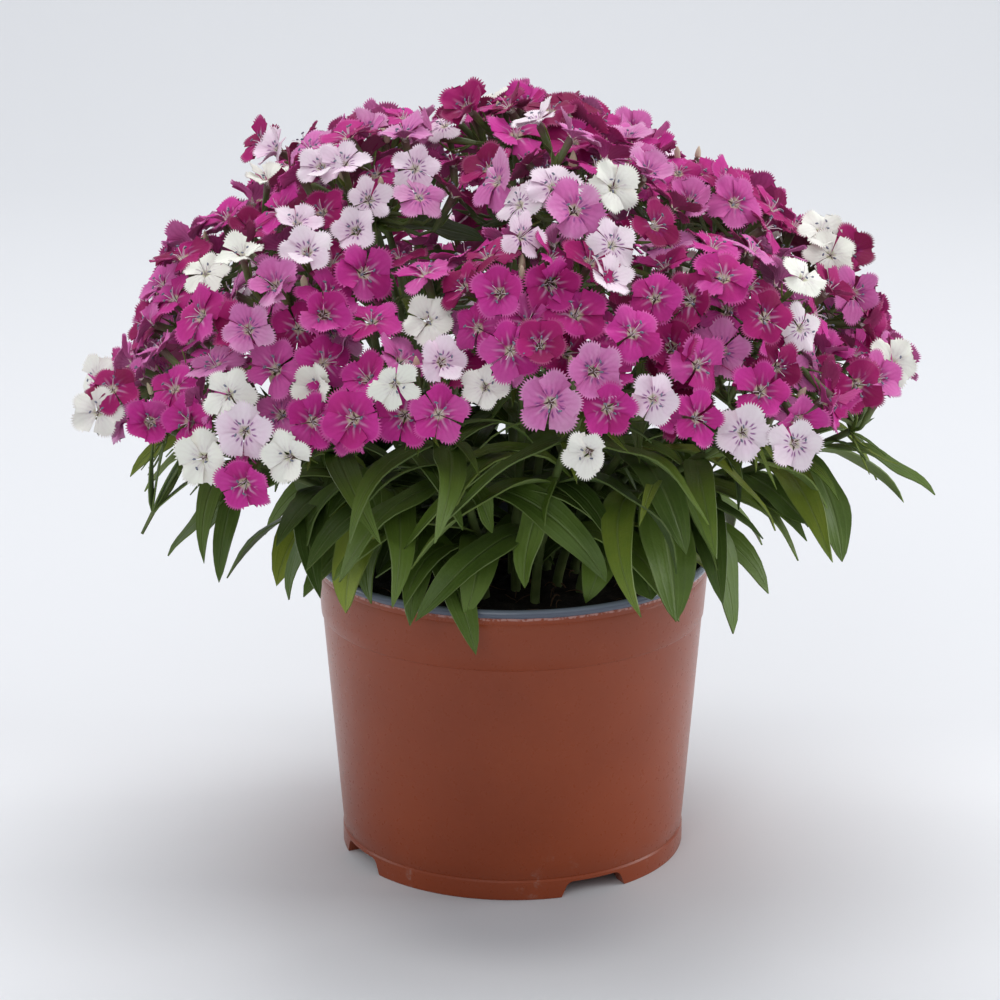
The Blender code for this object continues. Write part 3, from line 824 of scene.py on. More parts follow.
def makePetalMaterial(name, underside):
    kit = Kit(name)
    along, across = kit.uv()
    side = (across - 0.5) * 2
    tint = kit.painted("tint") + kit.painted("shade") * kit.painted("tint") * 0.10
    place = kit.place()
    mottle = kit.noise(260.0, 3.0, place)
    fine = kit.noise(1400.0, 2.0, place)
    colour = kit.ramp(tint + (mottle - 0.5) * 0.08 + (0.5 - along) * 0.06, petalColours["tints"])
    # fine veins fan out from the throat
    bent = side * 8 + (kit.noise(420.0, 2.0, place) - 0.5) * 4.4
    vein = abs(bent.sine()) ** 3
    inner = along.between(1.0, 0.25)
    coloured = 0.25 + tint.between(0.2, 0.5) * 0.75
    colour = kit.mix(vein * coloured * (0.03 + 0.17 * inner), colour, petalColours["stain"])
    # pale lines run from the throat up the middle of each petal
    line = abs(side * along * 7).between(0.55, 0.0) * along.between(0.62, 0.22)
    line = line + abs(abs(side) * along * 9 - 2.2).between(0.5, 0.0) * along.between(0.5, 0.2) * 0.7
    patch = kit.noise(70.0, 2.0, place).between(0.35, 0.65)
    pale = line * tint.between(0.30, 0.5) * (0.10 + 0.42 * patch) * tint.between(1.05, 0.85)
    # a ring of dark dashes round the eye, clearest on the pale flowers
    dashes = (side * 9.5 + 0.8).sine().between(0.35, 0.75)
    ring = along.between(0.16, 0.24) * along.between(0.42, 0.30)
    dark = dashes * ring * (1 - tint.between(0.42, 0.7) * 0.7) * (0.16 + tint.between(0.05, 0.22) * 0.84)
    stain = along.between(0.50, 0.14) * tint.between(0.42, 0.65) * 0.55
    if underside:
        colour = kit.mix(tint.between(0.1, 0.5) * 0.22, colour, petalColours["underside"])
        kit.set(BaseColor=kit.mix(vein * coloured * 0.12, colour, petalColours["stain"]))
    else:
        colour = kit.mix(stain, colour, petalColours["stain"])
        colour = kit.mix(pale, colour, petalColours["streak"])
        colour = kit.mix(dark * 0.85, colour, petalColours["dash"])
        colour = kit.mix(along.between(0.9, 1.0) * 0.07, colour, petalColours["streak"])
        kit.set(BaseColor=kit.mix(along.between(0.17, 0.06) * 0.85, colour, petalColours["throat"]))
    relief = vein * 0.16 + fine * 0.25 + mottle * 1.0
    kit.set(
        Roughness=petalColours["roughness"] + (fine - 0.5) * 0.2,
        SpecularIORLevel=0.16,
        Normal=kit.bump(relief, 0.00022, 0.8),
    )
    return kit.material


stamenColours = {
    "filament": ((0.3, (0.62, 0.52, 0.56)), (0.7, (0.82, 0.76, 0.78))),
    "anther": ((0.35, (0.10, 0.11, 0.16)), (0.7, (0.26, 0.28, 0.36))),
}


def makeFilamentMaterial():
    kit = Kit("filament")
    kit.set(BaseColor=kit.ramp(kit.noise(900.0), stamenColours["filament"]), Roughness=0.5)
    return kit.material


def makeAntherMaterial():
    kit = Kit("anther")
    tone = kit.noise(2200.0, 2.0)
    colour = kit.ramp(tone, stamenColours["anther"])
    kit.set(BaseColor=colour, Roughness=0.8, Normal=kit.bump(tone, 0.0001, 0.6))
    return kit.material


# A petal, modelled once: a grid is fanned out row by row, its rim toothed, and its foot drawn to a point

petalShape = {
    "length": 0.0111,
    "foot": 0.0005,
    "thickness": 0.00024,
    "rows": 4,
    "teeth": 10,
    "widths": (0.08, 0.43, 0.73, 0.88, 0.76),  # of the rows, from the foot to the rim
    "fullWidth": 0.0130,
    "cornerDrop": 0.0048,
    "dropAlong": 2.5,
    "dropAcross": 2.2,
    "toothDepth": 0.0012,
    "toothCentre": 0.42,  # the share of the length that the teeth point away from
}


def modelPetal(upper, under):
    shape = petalShape
    clearSelection()
    bpy.ops.mesh.primitive_grid_add(x_subdivisions=shape["rows"], y_subdivisions=shape["teeth"], size=1)
    petal = nameIt("petalModel")
    moveAt(petal, everywhere, (0.5, 0, 0))
    resizeAt(petal, everywhere, (shape["length"], shape["fullWidth"], 1))
    pick(petal, "edge", lambda a, b: min(a.x, b.x) > shape["length"] * 0.99)
    bpy.ops.mesh.subdivide(number_cuts=1)
    pitch = shape["fullWidth"] / shape["teeth"]
    for row, width in enumerate(shape["widths"]):
        here = shape["length"] * row / shape["rows"]
        resizeAt(petal, lambda point: abs(point.x - here) < nearly, (1, width, 1))
    pick(petal, "point", lambda point: point.x < nearly)
    bpy.ops.mesh.merge(type="CENTER")
    clearSelection()
    # the rows are bent round the eye, and the valleys between the teeth drawn in
    points = pointsOf(petal)
    share = points[:, 0] / shape["length"]
    valleys = (share > 0.99) & isValley(points[:, 1] / shape["widths"][-1], pitch)
    off = np.abs(points[:, 1]) / (shape["fullWidth"] / 2)
    points[:, 0] -= shape["cornerDrop"] * share ** shape["dropAlong"] * off ** shape["dropAcross"]
    inward = np.array((shape["length"] * shape["toothCentre"], 0, 0)) - points
    inward /= np.linalg.norm(inward, axis=1, keepdims=True)
    points += inward * shape["toothDepth"] * valleys[:, None]
    points[:, 0] += shape["foot"] * (1 - share)
    movePoints(petal, points)
    dress(petal, upper, under)
    fillIn(petal, shape["thickness"], -1.0)
    smooth(petal, 50)
    return petal


def isValley(across, pitch):
    return np.abs(across / pitch - np.round(across / pitch)) < 0.2


def shapedPetal(petal, turn, look):
    # one petal of a floret: clawed, cupped, ruffled, then lifted, rolled and turned to its place
    piece = copyOf(petal)
    points = pointsOf(piece)
    points[:, 1] *= look["narrow"]
    x, y = points[:, 0], points[:, 1]
    share = x / petalShape["length"]
    off = y / (petalShape["fullWidth"] / 2)
    points[:, 2] -= floretShape["claw"] * np.clip(1 - x / floretShape["clawLength"], 0, 1) ** 2
    points[:, 2] += look["cup"] * share**2 * petalShape["length"]
    points[:, 2] += look["curl"] * off**2 * share * petalShape["length"]
    points[:, 2] += look["ruffle"] * np.sin(off * look["waves"] + look["phase"]) * share**2
    points[:, 2] += look["ruffle"] * 0.5 * np.sin(share * 9 + look["phase"]) * np.abs(off)
    movePoints(piece, points * look["size"])
    lift = Matrix.Rotation(-look["lift"], 4, "Y")
    roll = Matrix.Rotation(look["roll"], 4, "X")
    piece.data.transform(Matrix.Rotation(turn, 4, "Z") @ lift @ roll)
    paint(piece, "shade", look["shade"])
    return piece


floretShape = {
    "variants": 20,
    "seed": 3,
    "claw": 0.0022,
    "clawLength": 0.0030,
    "halfClosed": 24.0,
    "liftDegrees": (-8.0, 14.0),
    "petalDegrees": 15.0,
    "rollDegrees": (-6.0, 20.0),
    "turnDegrees": 8.0,
    "cup": (-0.24, 0.16),
    "curl": (-0.30, 0.20),
    "ruffle": (0.0003, 0.0010),
    "narrow": (0.76, 1.0),
    "waves": (3.0, 6.5),
    "petalSize": (0.94, 1.06),
    "closing": 5,  # how many variants have half-closed petals
}


def modelFlorets(petal):
    draw = random.Random(floretShape["seed"])
    models = []
    for number in range(floretShape["variants"]):
        base = draw.uniform(*floretShape["liftDegrees"])
        narrow = draw.uniform(*floretShape["narrow"])
        if number < floretShape["closing"]:
            base += floretShape["halfClosed"]
        parts = []
        for k in range(plant["petals"]):
            look = {
                "cup": draw.uniform(*floretShape["cup"]),
                "curl": draw.uniform(*floretShape["curl"]),
                "ruffle": draw.uniform(*floretShape["ruffle"]),
                "waves": draw.uniform(*floretShape["waves"]),
                "phase": draw.uniform(0, math.tau),
                "lift": math.radians(base + draw.uniform(-1, 1) * floretShape["petalDegrees"]),
                "narrow": narrow * draw.uniform(0.97, 1.03),
                "shade": draw.uniform(-1, 1),
                "roll": math.radians(draw.uniform(*floretShape["rollDegrees"])),
                "size": draw.uniform(*floretShape["petalSize"]),
            }
            askew = math.radians(draw.uniform(-1, 1) * floretShape["turnDegrees"])
            parts.append(shapedPetal(petal, math.tau * k / plant["petals"] + askew, look))
        models.append(joined(f"floretModel{number}", parts))
    return models


# The stamens and styles in a floret's throat

stamenShape = {
    "count": 5,
    "withAnthers": 3,
    "length": (0.0040, 0.0062),
    "thickness": 0.00018,
    "spread": 0.0026,
    "unlike": (0.6, 1.4),
    "footOut": 0.0004,
    "tipIn": 0.0008,
    "start": 0.6,
    "antherLength": 0.00085,
    "antherWidth": 0.00042,
    "sunk": -0.0022,
}


def modelStalk(name, sides, steps, material):
    # a rod one metre high and one in radius, in steps, to be laid along a curve
    clearSelection()
    bpy.ops.mesh.primitive_cylinder_add(vertices=sides, radius=1, depth=1, location=(0, 0, 0.5))
    stalk = nameIt(name)
    bpy.ops.object.transform_apply(location=True, rotation=True, scale=True)
    pick(stalk, "edge", lambda a, b: abs(a.z - b.z) > 0.5)
    bpy.ops.mesh.subdivide(number_cuts=steps - 1)
    dress(stalk, material)
    smooth(stalk, 60)
    return stalk


def layStalk(model, route, radii, across=None):
    # lays a copy of the rod along a bezier route, with radii as (share, radius) pairs
    piece = copyOf(model)
    points = pointsOf(piece)
    shares = np.clip(points[:, 2], 0, 1)
    middle, ahead = alongRoute(route, shares)
    side = np.cross(ahead, np.array(across or (Vector(route[3]) - Vector(route[0])).orthogonal()))
    side /= np.linalg.norm(side, axis=1, keepdims=True)
    front = np.cross(side, ahead)
    radius = np.interp(shares, [pair[0] for pair in radii], [pair[1] for pair in radii])[:, None]
    movePoints(piece, middle + (side * points[:, :1] + front * points[:, 1:2]) * radius)
    return piece


def modelStamens(filament, anther):
    shape = stamenShape
    draw = random.Random(floretShape["seed"] + 1)
    rod = modelStalk("filamentModel", 3, 3, filament)
    parts = []
    for k in range(shape["count"]):
        around = math.tau * (k + draw.uniform(-0.2, 0.2)) / shape["count"] + shape["start"]
        out = Vector((math.cos(around), math.sin(around), 0))
        height = draw.uniform(*shape["length"])
        foot = out * shape["footOut"] + Vector((0, 0, shape["sunk"]))
        tip = out * shape["spread"] * draw.uniform(*shape["unlike"]) + Vector((0, 0, height + shape["sunk"]))
        route = (foot, foot + Vector((0, 0, height * 0.5)), tip - out * shape["tipIn"], tip)
        parts.append(layStalk(rod, route, ((0, shape["thickness"]), (1, shape["thickness"] * 0.7))))
        if k >= shape["withAnthers"]:
            continue  # the others are styles, with no anther
        clearSelection()
        bpy.ops.mesh.primitive_ico_sphere_add(subdivisions=1, radius=1)
        blob = nameIt("antherModel")
        resizeAt(blob, everywhere, (shape["antherLength"], shape["antherWidth"], shape["antherWidth"]))
        dress(blob, anther)
        blob.data.transform(Matrix.Translation(tip) @ Matrix.Rotation(draw.uniform(0, math.pi), 4, "Z"))
        smooth(blob, 60)
        parts.append(blob)
    model = joined("stamenModel", parts)
    bpy.data.objects.remove(rod)
    return model


def floretMatrix(floret):
    turn = floret["look"].to_track_quat("Z", "Y") @ Quaternion((0, 0, 1), floret["spin"])
    size = Matrix.Scale(floret["size"], 4)
    return Matrix.Translation(floret["place"]) @ turn.to_matrix().to_4x4() @ size


def makeBlooms(heads, florets):
    upper = makePetalMaterial("petalUpper", False)
    under = makePetalMaterial("petalUnder", True)
    petal = modelPetal(upper, under)
    models = modelFlorets(petal)
    stamens = modelStamens(makeFilamentMaterial(), makeAntherMaterial())
    for head in heads:
        parts = []
        for floret in florets:
            if floret["head"] is not head:
                continue
            model = models[int(floret["variant"] * len(models))]
            for piece in (copyOf(model), copyOf(stamens)):
                piece.data.transform(floretMatrix(floret))
                paint(piece, "tint", floret["tint"])
                parts.append(piece)
        bloom = joined(f"bloom_{head['number']}", parts)
        finishPiece(bloom, "petal", f"head_{head['number']}")
    for model in (petal, stamens, *models):
        bpy.data.objects.remove(model)
    print("blooms done:", len(florets), "florets")


# Materials of the green parts

greenColours = {
    "leafTones": (
        (0.00, (0.021, 0.042, 0.009)),
        (0.35, (0.058, 0.104, 0.016)),
        (0.70, (0.118, 0.190, 0.025)),
        (1.00, (0.230, 0.290, 0.030)),
    ),
    "rib": (0.20, 0.26, 0.10),
    "underside": (0.11, 0.16, 0.07),
    "edge": (0.13, 0.18, 0.05),
    "stemTones": ((0.25, (0.060, 0.100, 0.024)), (0.75, (0.150, 0.190, 0.055))),
    "calyxTip": (0.13, 0.045, 0.060),
    "bud": (0.62, 0.64, 0.36),
}


def makeLeafMaterial(name, underside):
    kit = Kit(name)
    along, across = kit.uv()
    side = (across - 0.5) * 2
    place = kit.place()
    mottle = kit.noise(90.0, 4.0, place)
    fine = kit.noise(900.0, 3.0, place)
    tone = kit.painted("tone") + (mottle - 0.5) * 0.28 + (fine - 0.5) * 0.10
    colour = kit.ramp(tone, greenColours["leafTones"])
    rib = abs(side).between(0.10, 0.02)
    wander = (kit.noise(60.0, 2.0, place) - 0.5) * 1.6
    veins = abs((side * 8 + wander).sine()) ** 8
    crossVeins = abs((along * 60 + abs(side) * 26 + wander * 4).sine()) ** 8
    colour = kit.mix(veins * 0.04 + crossVeins * 0.03, colour, greenColours["rib"])
    colour = kit.mix(rib * 0.36, colour, greenColours["rib"])
    colour = kit.mix(abs(side).between(0.9, 1.0) * 0.5, colour, greenColours["edge"])
    if underside:
        colour = kit.mix(0.45, colour, greenColours["underside"])
    relief = veins * 0.25 + rib * (1.6 if underside else -1.4) + fine * 0.4 + mottle * 1.2
    kit.set(
        BaseColor=colour,
        Roughness=(0.62 if underside else 0.46) + (mottle - 0.5) * 0.22,
        SpecularIORLevel=0.30,
        Normal=kit.bump(relief, 0.00035, 0.7),
    )
    return kit.material


def makeStemMaterial():
    kit = Kit("stemGreen")
    place = kit.place()
    tone = kit.noise(140.0, 4.0, place)
    fine = kit.noise(1500.0, 2.0, place)
    colour = kit.ramp(tone + (fine - 0.5) * 0.2, greenColours["stemTones"])
    tip = kit.painted("tipped")
    colour = kit.mix(tip.between(0.55, 1.0) * 0.75, colour, greenColours["calyxTip"])
    relief = kit.bump(tone + fine * 0.5, 0.0002, 0.6)
    kit.set(BaseColor=colour, Roughness=0.5 + (fine - 0.5) * 0.2, Normal=relief)
    return kit.material


def makeBudMaterial():
    kit = Kit("budPetal")
    tone = kit.noise(500.0, 3.0)
    tint = kit.painted("tint")
    pale = kit.mix(tint, greenColours["bud"], petalColours["tints"][4][1])
    colour = kit.mix(tone * 0.35, pale, petalColours["underside"])
    kit.set(BaseColor=colour, Roughness=0.6, Normal=kit.bump(tone, 0.0003, 0.6))
    return kit.material


# A leaf, modelled once flat and one metre long, in a broad and a narrow cut, and laid along its arc

leafShape = {
    "models": (  # name, rows, columns, broad
        ("broad", 14, 6, True),
        ("narrow", 14, 6, False),
        ("fill", 9, 4, True),
        ("thin", 7, 2, False),
        ("bract", 4, 2, False),
    ),
    "thickness": 0.0006,
    "fold": 0.16,
    "flatThickness": 0.01,
    "wave": 0.0012,
    "baseWidth": 0.16,
    "tones": {"broad": (0.26, 0.84), "narrow": (0.38, 0.88), "yellow": 1.0},
    "yellowChance": 0.03,
    "waves": (0.3, 1.6),
    "twists": (-0.90, 0.90),
    "sways": (-0.30, 0.30),
    "widths": (0.72, 0.98),
    "lengths": (0.84, 0.99),
    "gapSway": 0.12,
    "gapFront": -0.05,
    "gapMiddle": 0.004,
    "gapHalf": 0.030,
    "gapDepth": -0.030,
    "frontFrom": -0.055,
    "frontLowest": 0.117,
}


def leafWidth(share, broad):
    # the half width of a lanceolate blade, 0.5 at its widest
    low, high = (0.68, 0.80) if broad else (0.42, 0.85)
    peak = low / (low + high)
    full = share**low * np.clip(1 - share, 0, 1) ** high / (peak**low * (1 - peak) ** high)
    return 0.5 * np.maximum(full, leafShape["baseWidth"] * (1 - share) ** 6)


def modelLeaf(name, rows, columns, broad, upper, under):
    clearSelection()
    bpy.ops.mesh.primitive_grid_add(x_subdivisions=rows, y_subdivisions=columns, size=1)
    leaf = nameIt(name)
    moveAt(leaf, everywhere, (0.5, 0, 0))
    close = 0.1 / rows
    for row in range(1, rows + 1):
        here = row / rows
        width = max(2 * float(leafWidth(np.array(here), broad)), 1e-4)
        resizeAt(leaf, lambda point: abs(point.x - here) < close, (1, width, 1))
    resizeAt(leaf, lambda point: point.x < close, (1, leafShape["baseWidth"], 1))
    pick(leaf, "point", lambda point: point.x > 1 - close)
    bpy.ops.mesh.merge(type="CENTER")
    dress(leaf, upper, under)
    fillIn(leaf, leafShape["flatThickness"], 0.0)
    smooth(leaf, 50)
    return leaf


def layLeaf(model, leaf, tone):
    piece = copyOf(model)
    points = pointsOf(piece)
    share = points[:, 0]
    thick = points[:, 2] / leafShape["flatThickness"] * leaf.get("thickness", leafShape["thickness"])
    half = points[:, 1] * leaf["width"]
    angle = leaf["rise"] + (leaf["fall"] - leaf["rise"]) * share
    bend = leaf["length"] / (leaf["fall"] - leaf["rise"])
    out = bend * (np.sin(angle) - math.sin(leaf["rise"]))
    up = -bend * (np.cos(angle) - math.cos(leaf["rise"]))
    twist = leaf.get("twist", 0.0) * share
    fold = np.abs(half) * leafShape["fold"]
    wave = leaf.get("wave", 0.0) * np.sin(share * 11 + leaf.get("phase", 0.0)) * np.abs(points[:, 1]) * 2
    rise = fold + wave + thick
    across = half * np.cos(twist) - rise * np.sin(twist)
    lift = half * np.sin(twist) + rise * np.cos(twist)
    sway = leaf.get("sway", 0.0) * share**2 * leaf["length"]
    ahead = np.array(level(leaf["azimuth"]))
    side = np.array(level(leaf["azimuth"] + math.pi / 2))
    normal = -np.sin(angle)[:, None] * ahead + np.cos(angle)[:, None] * np.array((0, 0, 1.0))
    places = np.array(leaf["root"]) + ahead * out[:, None] + np.array((0, 0, 1.0)) * up[:, None]
    movePoints(piece, places + side * (across + sway)[:, None] + normal * lift[:, None])
    paint(piece, "tone", tone)
    return piece


# Stems, calyces, buds and bracts

stemShape = {
    "models": (("stem", 8, 28), ("peg", 8, 2), ("pedicel", 5, 4)),  # name, sides, steps
    "footRadius": 0.0019,
    "topRadius": 0.0013,
    "jointSwell": 1.38,
    "jointHalf": 0.018,
    "sunk": 0.004,
    "pedicel": ((0, 0.0009), (0.9, 0.00075), (1, 0.0009)),  # share and radius
}

calyxShape = {
    "slim": 0.84,
    "sides": 10,
    "length": 0.0125,
    "radius": 0.00155,
    "mouth": 1.18,
    "foot": 0.62,
    "rib": 1.07,
    "tooth": 0.0014,
    "top": -0.0030,
}


def onRib(point):
    return round(math.atan2(point.y, point.x) / math.tau * calyxShape["sides"]) % 2 == 0


def modelCalyx(material):
    # a ribbed tube: a cylinder whose rings are resized and whose mouth is toothed
    shape = calyxShape
    clearSelection()
    bpy.ops.mesh.primitive_cylinder_add(
        vertices=shape["sides"],
        radius=shape["radius"],
        depth=shape["length"],
        location=(0, 0, shape["top"] - shape["length"] / 2),
    )
    calyx = nameIt("calyxModel")
    bpy.ops.object.transform_apply(location=True, rotation=True, scale=True)
    top, foot = shape["top"], shape["top"] - shape["length"]
    pick(calyx, "edge", lambda a, b: abs(a.z - b.z) > shape["length"] * 0.9)
    bpy.ops.mesh.subdivide(number_cuts=2)
    resizeAt(calyx, lambda point: point.z < foot + nearly, (shape["foot"], shape["foot"], 1), (0, 0, foot))
    resizeAt(calyx, lambda point: point.z > top - nearly, (shape["mouth"], shape["mouth"], 1), (0, 0, top))
    resizeAt(calyx, onRib, (shape["rib"], shape["rib"], 1))
    moveAt(calyx, lambda point: point.z > top - nearly and onRib(point), (0, 0, shape["tooth"]))
    dress(calyx, material)
    smooth(calyx, 60)
    layer = calyx.data.attributes.new("tipped", "FLOAT", "POINT")
    heights = pointsOf(calyx)[:, 2]
    layer.data.foreach_set("value", np.clip((heights - foot) / shape["length"], 0, 1).astype(np.float32))
    return calyx


budShape = {
    "radius": 0.0018,
    "length": 0.0062,
    "tip": 0.72,
    "furl": 1.4,
    "oval": (1.12, 0.9),
    "perHead": 2,
    "tries": 40,
    "reach": (0.003, 0.014),
    "sunk": 0.0065,
    "outward": 0.003,
    "outwardWeight": 3,
    "upright": 0.02,
    "size": (0.60, 0.85),
}


def modelBud(material):
    # the furled petals of a bud: a drop drawn to a point
    clearSelection()
    bpy.ops.mesh.primitive_uv_sphere_add(segments=8, ring_count=6, radius=budShape["radius"])
    bud = nameIt("budModel")
    resizeAt(bud, lambda point: point.z > 0, (1, 1, budShape["length"] / budShape["radius"]))
    resizeAt(bud, lambda point: point.z > budShape["length"] * 0.6, (budShape["tip"], budShape["tip"], 1))
    dress(bud, material)
    points = pointsOf(bud)
    turn = points[:, 2] / budShape["length"] * budShape["furl"]
    x, y = points[:, 0] * budShape["oval"][0], points[:, 1] * budShape["oval"][1]
    points[:, 0] = x * np.cos(turn) - y * np.sin(turn)
    points[:, 1] = x * np.sin(turn) + y * np.cos(turn)
    movePoints(bud, points)
    smooth(bud, 60)
    return bud


def stemRadii():
    # share and radius: the stem thins upwards and swells at its joints
    pairs = []
    steps = stemShape["models"][0][2]
    for k in range(steps + 1):
        share = k / steps
        radius = stemShape["footRadius"] * (1 - share) + stemShape["topRadius"] * share
        near = min(abs(share - joint / plant["stemSteps"]) for joint in (1, 2, 3))
        swell = 1 + (stemShape["jointSwell"] - 1) * max(0.0, 1 - near / stemShape["jointHalf"])
        pairs.append((share, radius * swell))
    return pairs


# Leaves that the solids leave out: thin pairs high on each stem and broader ones low down
thinLeaves = {
    "seed": 21,
    "groups": (
        {"model": "thin", "tones": (0.35, 0.85), "twist": 1.0, "inGap": True, "leaves": (
            {"share": 0.60, "length": 0.046, "width": 0.0062, "rise": 34.0, "fall": -46.0},
            {"share": 0.70, "length": 0.044, "width": 0.0056, "rise": 36.0, "fall": -40.0},
            {"share": 0.80, "length": 0.038, "width": 0.0046, "rise": 34.0, "fall": -40.0},
            {"share": 0.90, "length": 0.028, "width": 0.0034, "rise": 26.0, "fall": -34.0},
        )},
        {"model": "fill", "tones": (0.12, 0.55), "twist": 0.4, "inGap": False, "leaves": (
            {"share": 0.12, "length": 0.066, "width": 0.0150, "rise": 48.0, "fall": -46.0},
            {"share": 0.38, "length": 0.062, "width": 0.0120, "rise": 40.0, "fall": -50.0},
        )},
    ),
    "spin": 0.4,
    "stretch": (0.82, 1.12),
    "widen": (0.85, 1.1),
    "rises": (-10, 10),
    "falls": (-16, 10),
    "turn": 0.3,
    "twist": 0.6,
    "sway": 0.12,
    "thickness": 0.0005,
}


def drawLeaf(draw, root, facts, azimuth):
    stretch = draw.uniform(*thinLeaves["stretch"])
    return {
        "root": root,
        "azimuth": azimuth + draw.uniform(-thinLeaves["turn"], thinLeaves["turn"]),
        "length": facts["length"] * stretch,
        "width": facts["width"] * draw.uniform(*thinLeaves["widen"]),
        "rise": math.radians(facts["rise"] + draw.uniform(*thinLeaves["rises"])),
        "fall": math.radians(facts["fall"] + draw.uniform(*thinLeaves["falls"])),
        "twist": draw.uniform(-thinLeaves["twist"], thinLeaves["twist"]),
        "sway": draw.uniform(-thinLeaves["sway"], thinLeaves["sway"]),
        "thickness": thinLeaves["thickness"],
    }


def drawApart(leaf, draw):
    # makes the leaves of the solids unlike each other, and shortens those that hang low in front
    leaf["wave"] = leafShape["wave"] * draw.uniform(*leafShape["waves"])
    leaf["phase"] = draw.uniform(0, 6)
    leaf["twist"] = draw.uniform(*leafShape["twists"])
    leaf["sway"] = draw.uniform(*leafShape["sways"])
    leaf["width"] *= draw.uniform(*leafShape["widths"])
    leaf["length"] *= draw.uniform(*leafShape["lengths"])
    tip = leafTip(leaf)[0]
    off = tip.x - leafShape["gapMiddle"]
    if tip.y <= leafShape["gapFront"] and abs(off) <= leafShape["gapHalf"]:
        # beside the gap in front, where the peat shows, they bend away from it
        leaf["sway"] = math.copysign(leafShape["gapSway"] + abs(leaf["sway"]), off)
    if tip.y < leafShape["frontFrom"] and tip.z < leafShape["frontLowest"]:
        leaf["length"] *= (leaf["root"].z - leafShape["frontLowest"]) / (leaf["root"].z - tip.z)


def reachesGap(leaf):
    tip = leafTip(leaf)[0]
    return tip.y <= leafShape["gapDepth"] and abs(tip.x - leafShape["gapMiddle"]) <= leafShape["gapHalf"]


# Clear leaves of the photograph: pixel and depth of the root, the same of the tip, width, bend, twist, tone

aimedLeaves = {
    "stemShares": (0.15, 0.25, 0.35, 0.45, 0.55, 0.65, 0.75, 0.85, 0.90),
    "leaves": (
        ((285, 515), -0.045, (168, 556), -0.055, 0.0135, 42, 0.3, 0.50),
        ((250, 495), -0.060, (219, 583), -0.062, 0.0085, 62, -0.2, 0.45),
        ((330, 530), -0.050, (346, 613), -0.072, 0.0170, 48, 0.2, 0.93),
        ((325, 470), -0.055, (289, 600), -0.062, 0.0125, 50, -0.4, 0.42),
        ((340, 465), -0.060, (381, 530), -0.070, 0.0125, 30, 0.3, 0.55),
        ((455, 440), -0.070, (492, 533), -0.082, 0.0105, 34, 0.2, 0.60),
        ((415, 560), -0.058, (476, 655), -0.088, 0.0135, 52, 0.2, 0.50),
        ((598, 478), -0.062, (525, 588), -0.074, 0.0130, 44, -0.2, 0.62),
        ((590, 540), -0.050, (652, 600), -0.074, 0.0270, 40, 0.3, 0.36),
        ((655, 590), -0.058, (719, 583), -0.066, 0.0190, 34, -0.6, 0.97),
        ((640, 482), -0.060, (676, 622), -0.088, 0.0200, 52, -0.2, 0.50),
        ((722, 500), -0.050, (733, 634), -0.066, 0.0165, 40, 0.3, 0.52),
        ((740, 482), -0.040, (806, 524), -0.045, 0.0160, 34, 0.4, 0.38),
        ((800, 462), -0.040, (842, 562), -0.048, 0.0135, 44, 0.3, 0.48),
        ((850, 424), -0.030, (935, 495), -0.035, 0.0090, 44, 0.4, 0.56),
        ((387, 226), 0.030, (484, 241), 0.028, 0.0190, 24, 0.3, 0.20),
        ((446, 322), -0.040, (445, 268), -0.046, 0.0070, 20, 0.1, 0.40),
    ),
}


def aimedLeaf(root, facts):
    # an arc from root to tip; its chord halves the turn between rise and fall
    way = facts["tip"] - root
    slope = math.atan2(way.z, way.xy.length)
    half = math.radians(facts["bend"]) / 2
    return {
        "root": root,
        "azimuth": math.atan2(way.x, -way.y),
        "length": way.length * half / math.sin(half),
        "rise": slope + half,
        "fall": slope - half,
        "width": facts["width"],
        "twist": facts["twist"],
        "wave": leafShape["wave"],
        "phase": way.x * 90,
    }


def shareAimedLeaves(stems):
    # each leaf grows from the stem that passes nearest to its root in the photograph
    shared = {}
    places = list(itertools.product(stems, aimedLeaves["stemShares"]))
    for rootPixel, rootDepth, tipPixel, tipDepth, *rest in aimedLeaves["leaves"]:
        root = pointAt(rootPixel, rootDepth)
        stem, share = min(places, key=lambda place: (pointOnStem(*place) - root).length)
        facts = dict(zip(("width", "bend", "twist", "tone"), rest), tip=pointAt(tipPixel, tipDepth))
        shared.setdefault(stem["head"]["number"], []).append((share, facts))
    return shared


# A stray shoot hangs out on the left, with narrow leaves from its joint

strayShoot = {
    "azimuth": -76.0,
    "from": 0.86,
    "leave": (-0.012, -0.006, 0.004),
    "meet": (0.012, 0, 0.012),
    "joint": (-0.1325, -0.050, 0.1475),
    "tail": (-0.1365, -0.052, 0.1400),
    "arm": ((0, 0.0010), (1, 0.0009)),  # share and radius
    "stub": ((0, 0.0009), (1, 0.0006)),
    "leaves": (  # length, rise, fall, azimuth
        (0.031, 92.0, 78.0, 60.0),
        (0.030, 82.0, 76.0, 90.0),
        (0.035, 66.0, 54.0, 80.0),
        (0.035, 60.0, 46.0, 110.0),
        (0.034, 44.0, 34.0, 88.0),
    ),
    "width": 0.0038,
}


def straight(start, end, first, second):
    return start, start.lerp(end, first), start.lerp(end, second), end


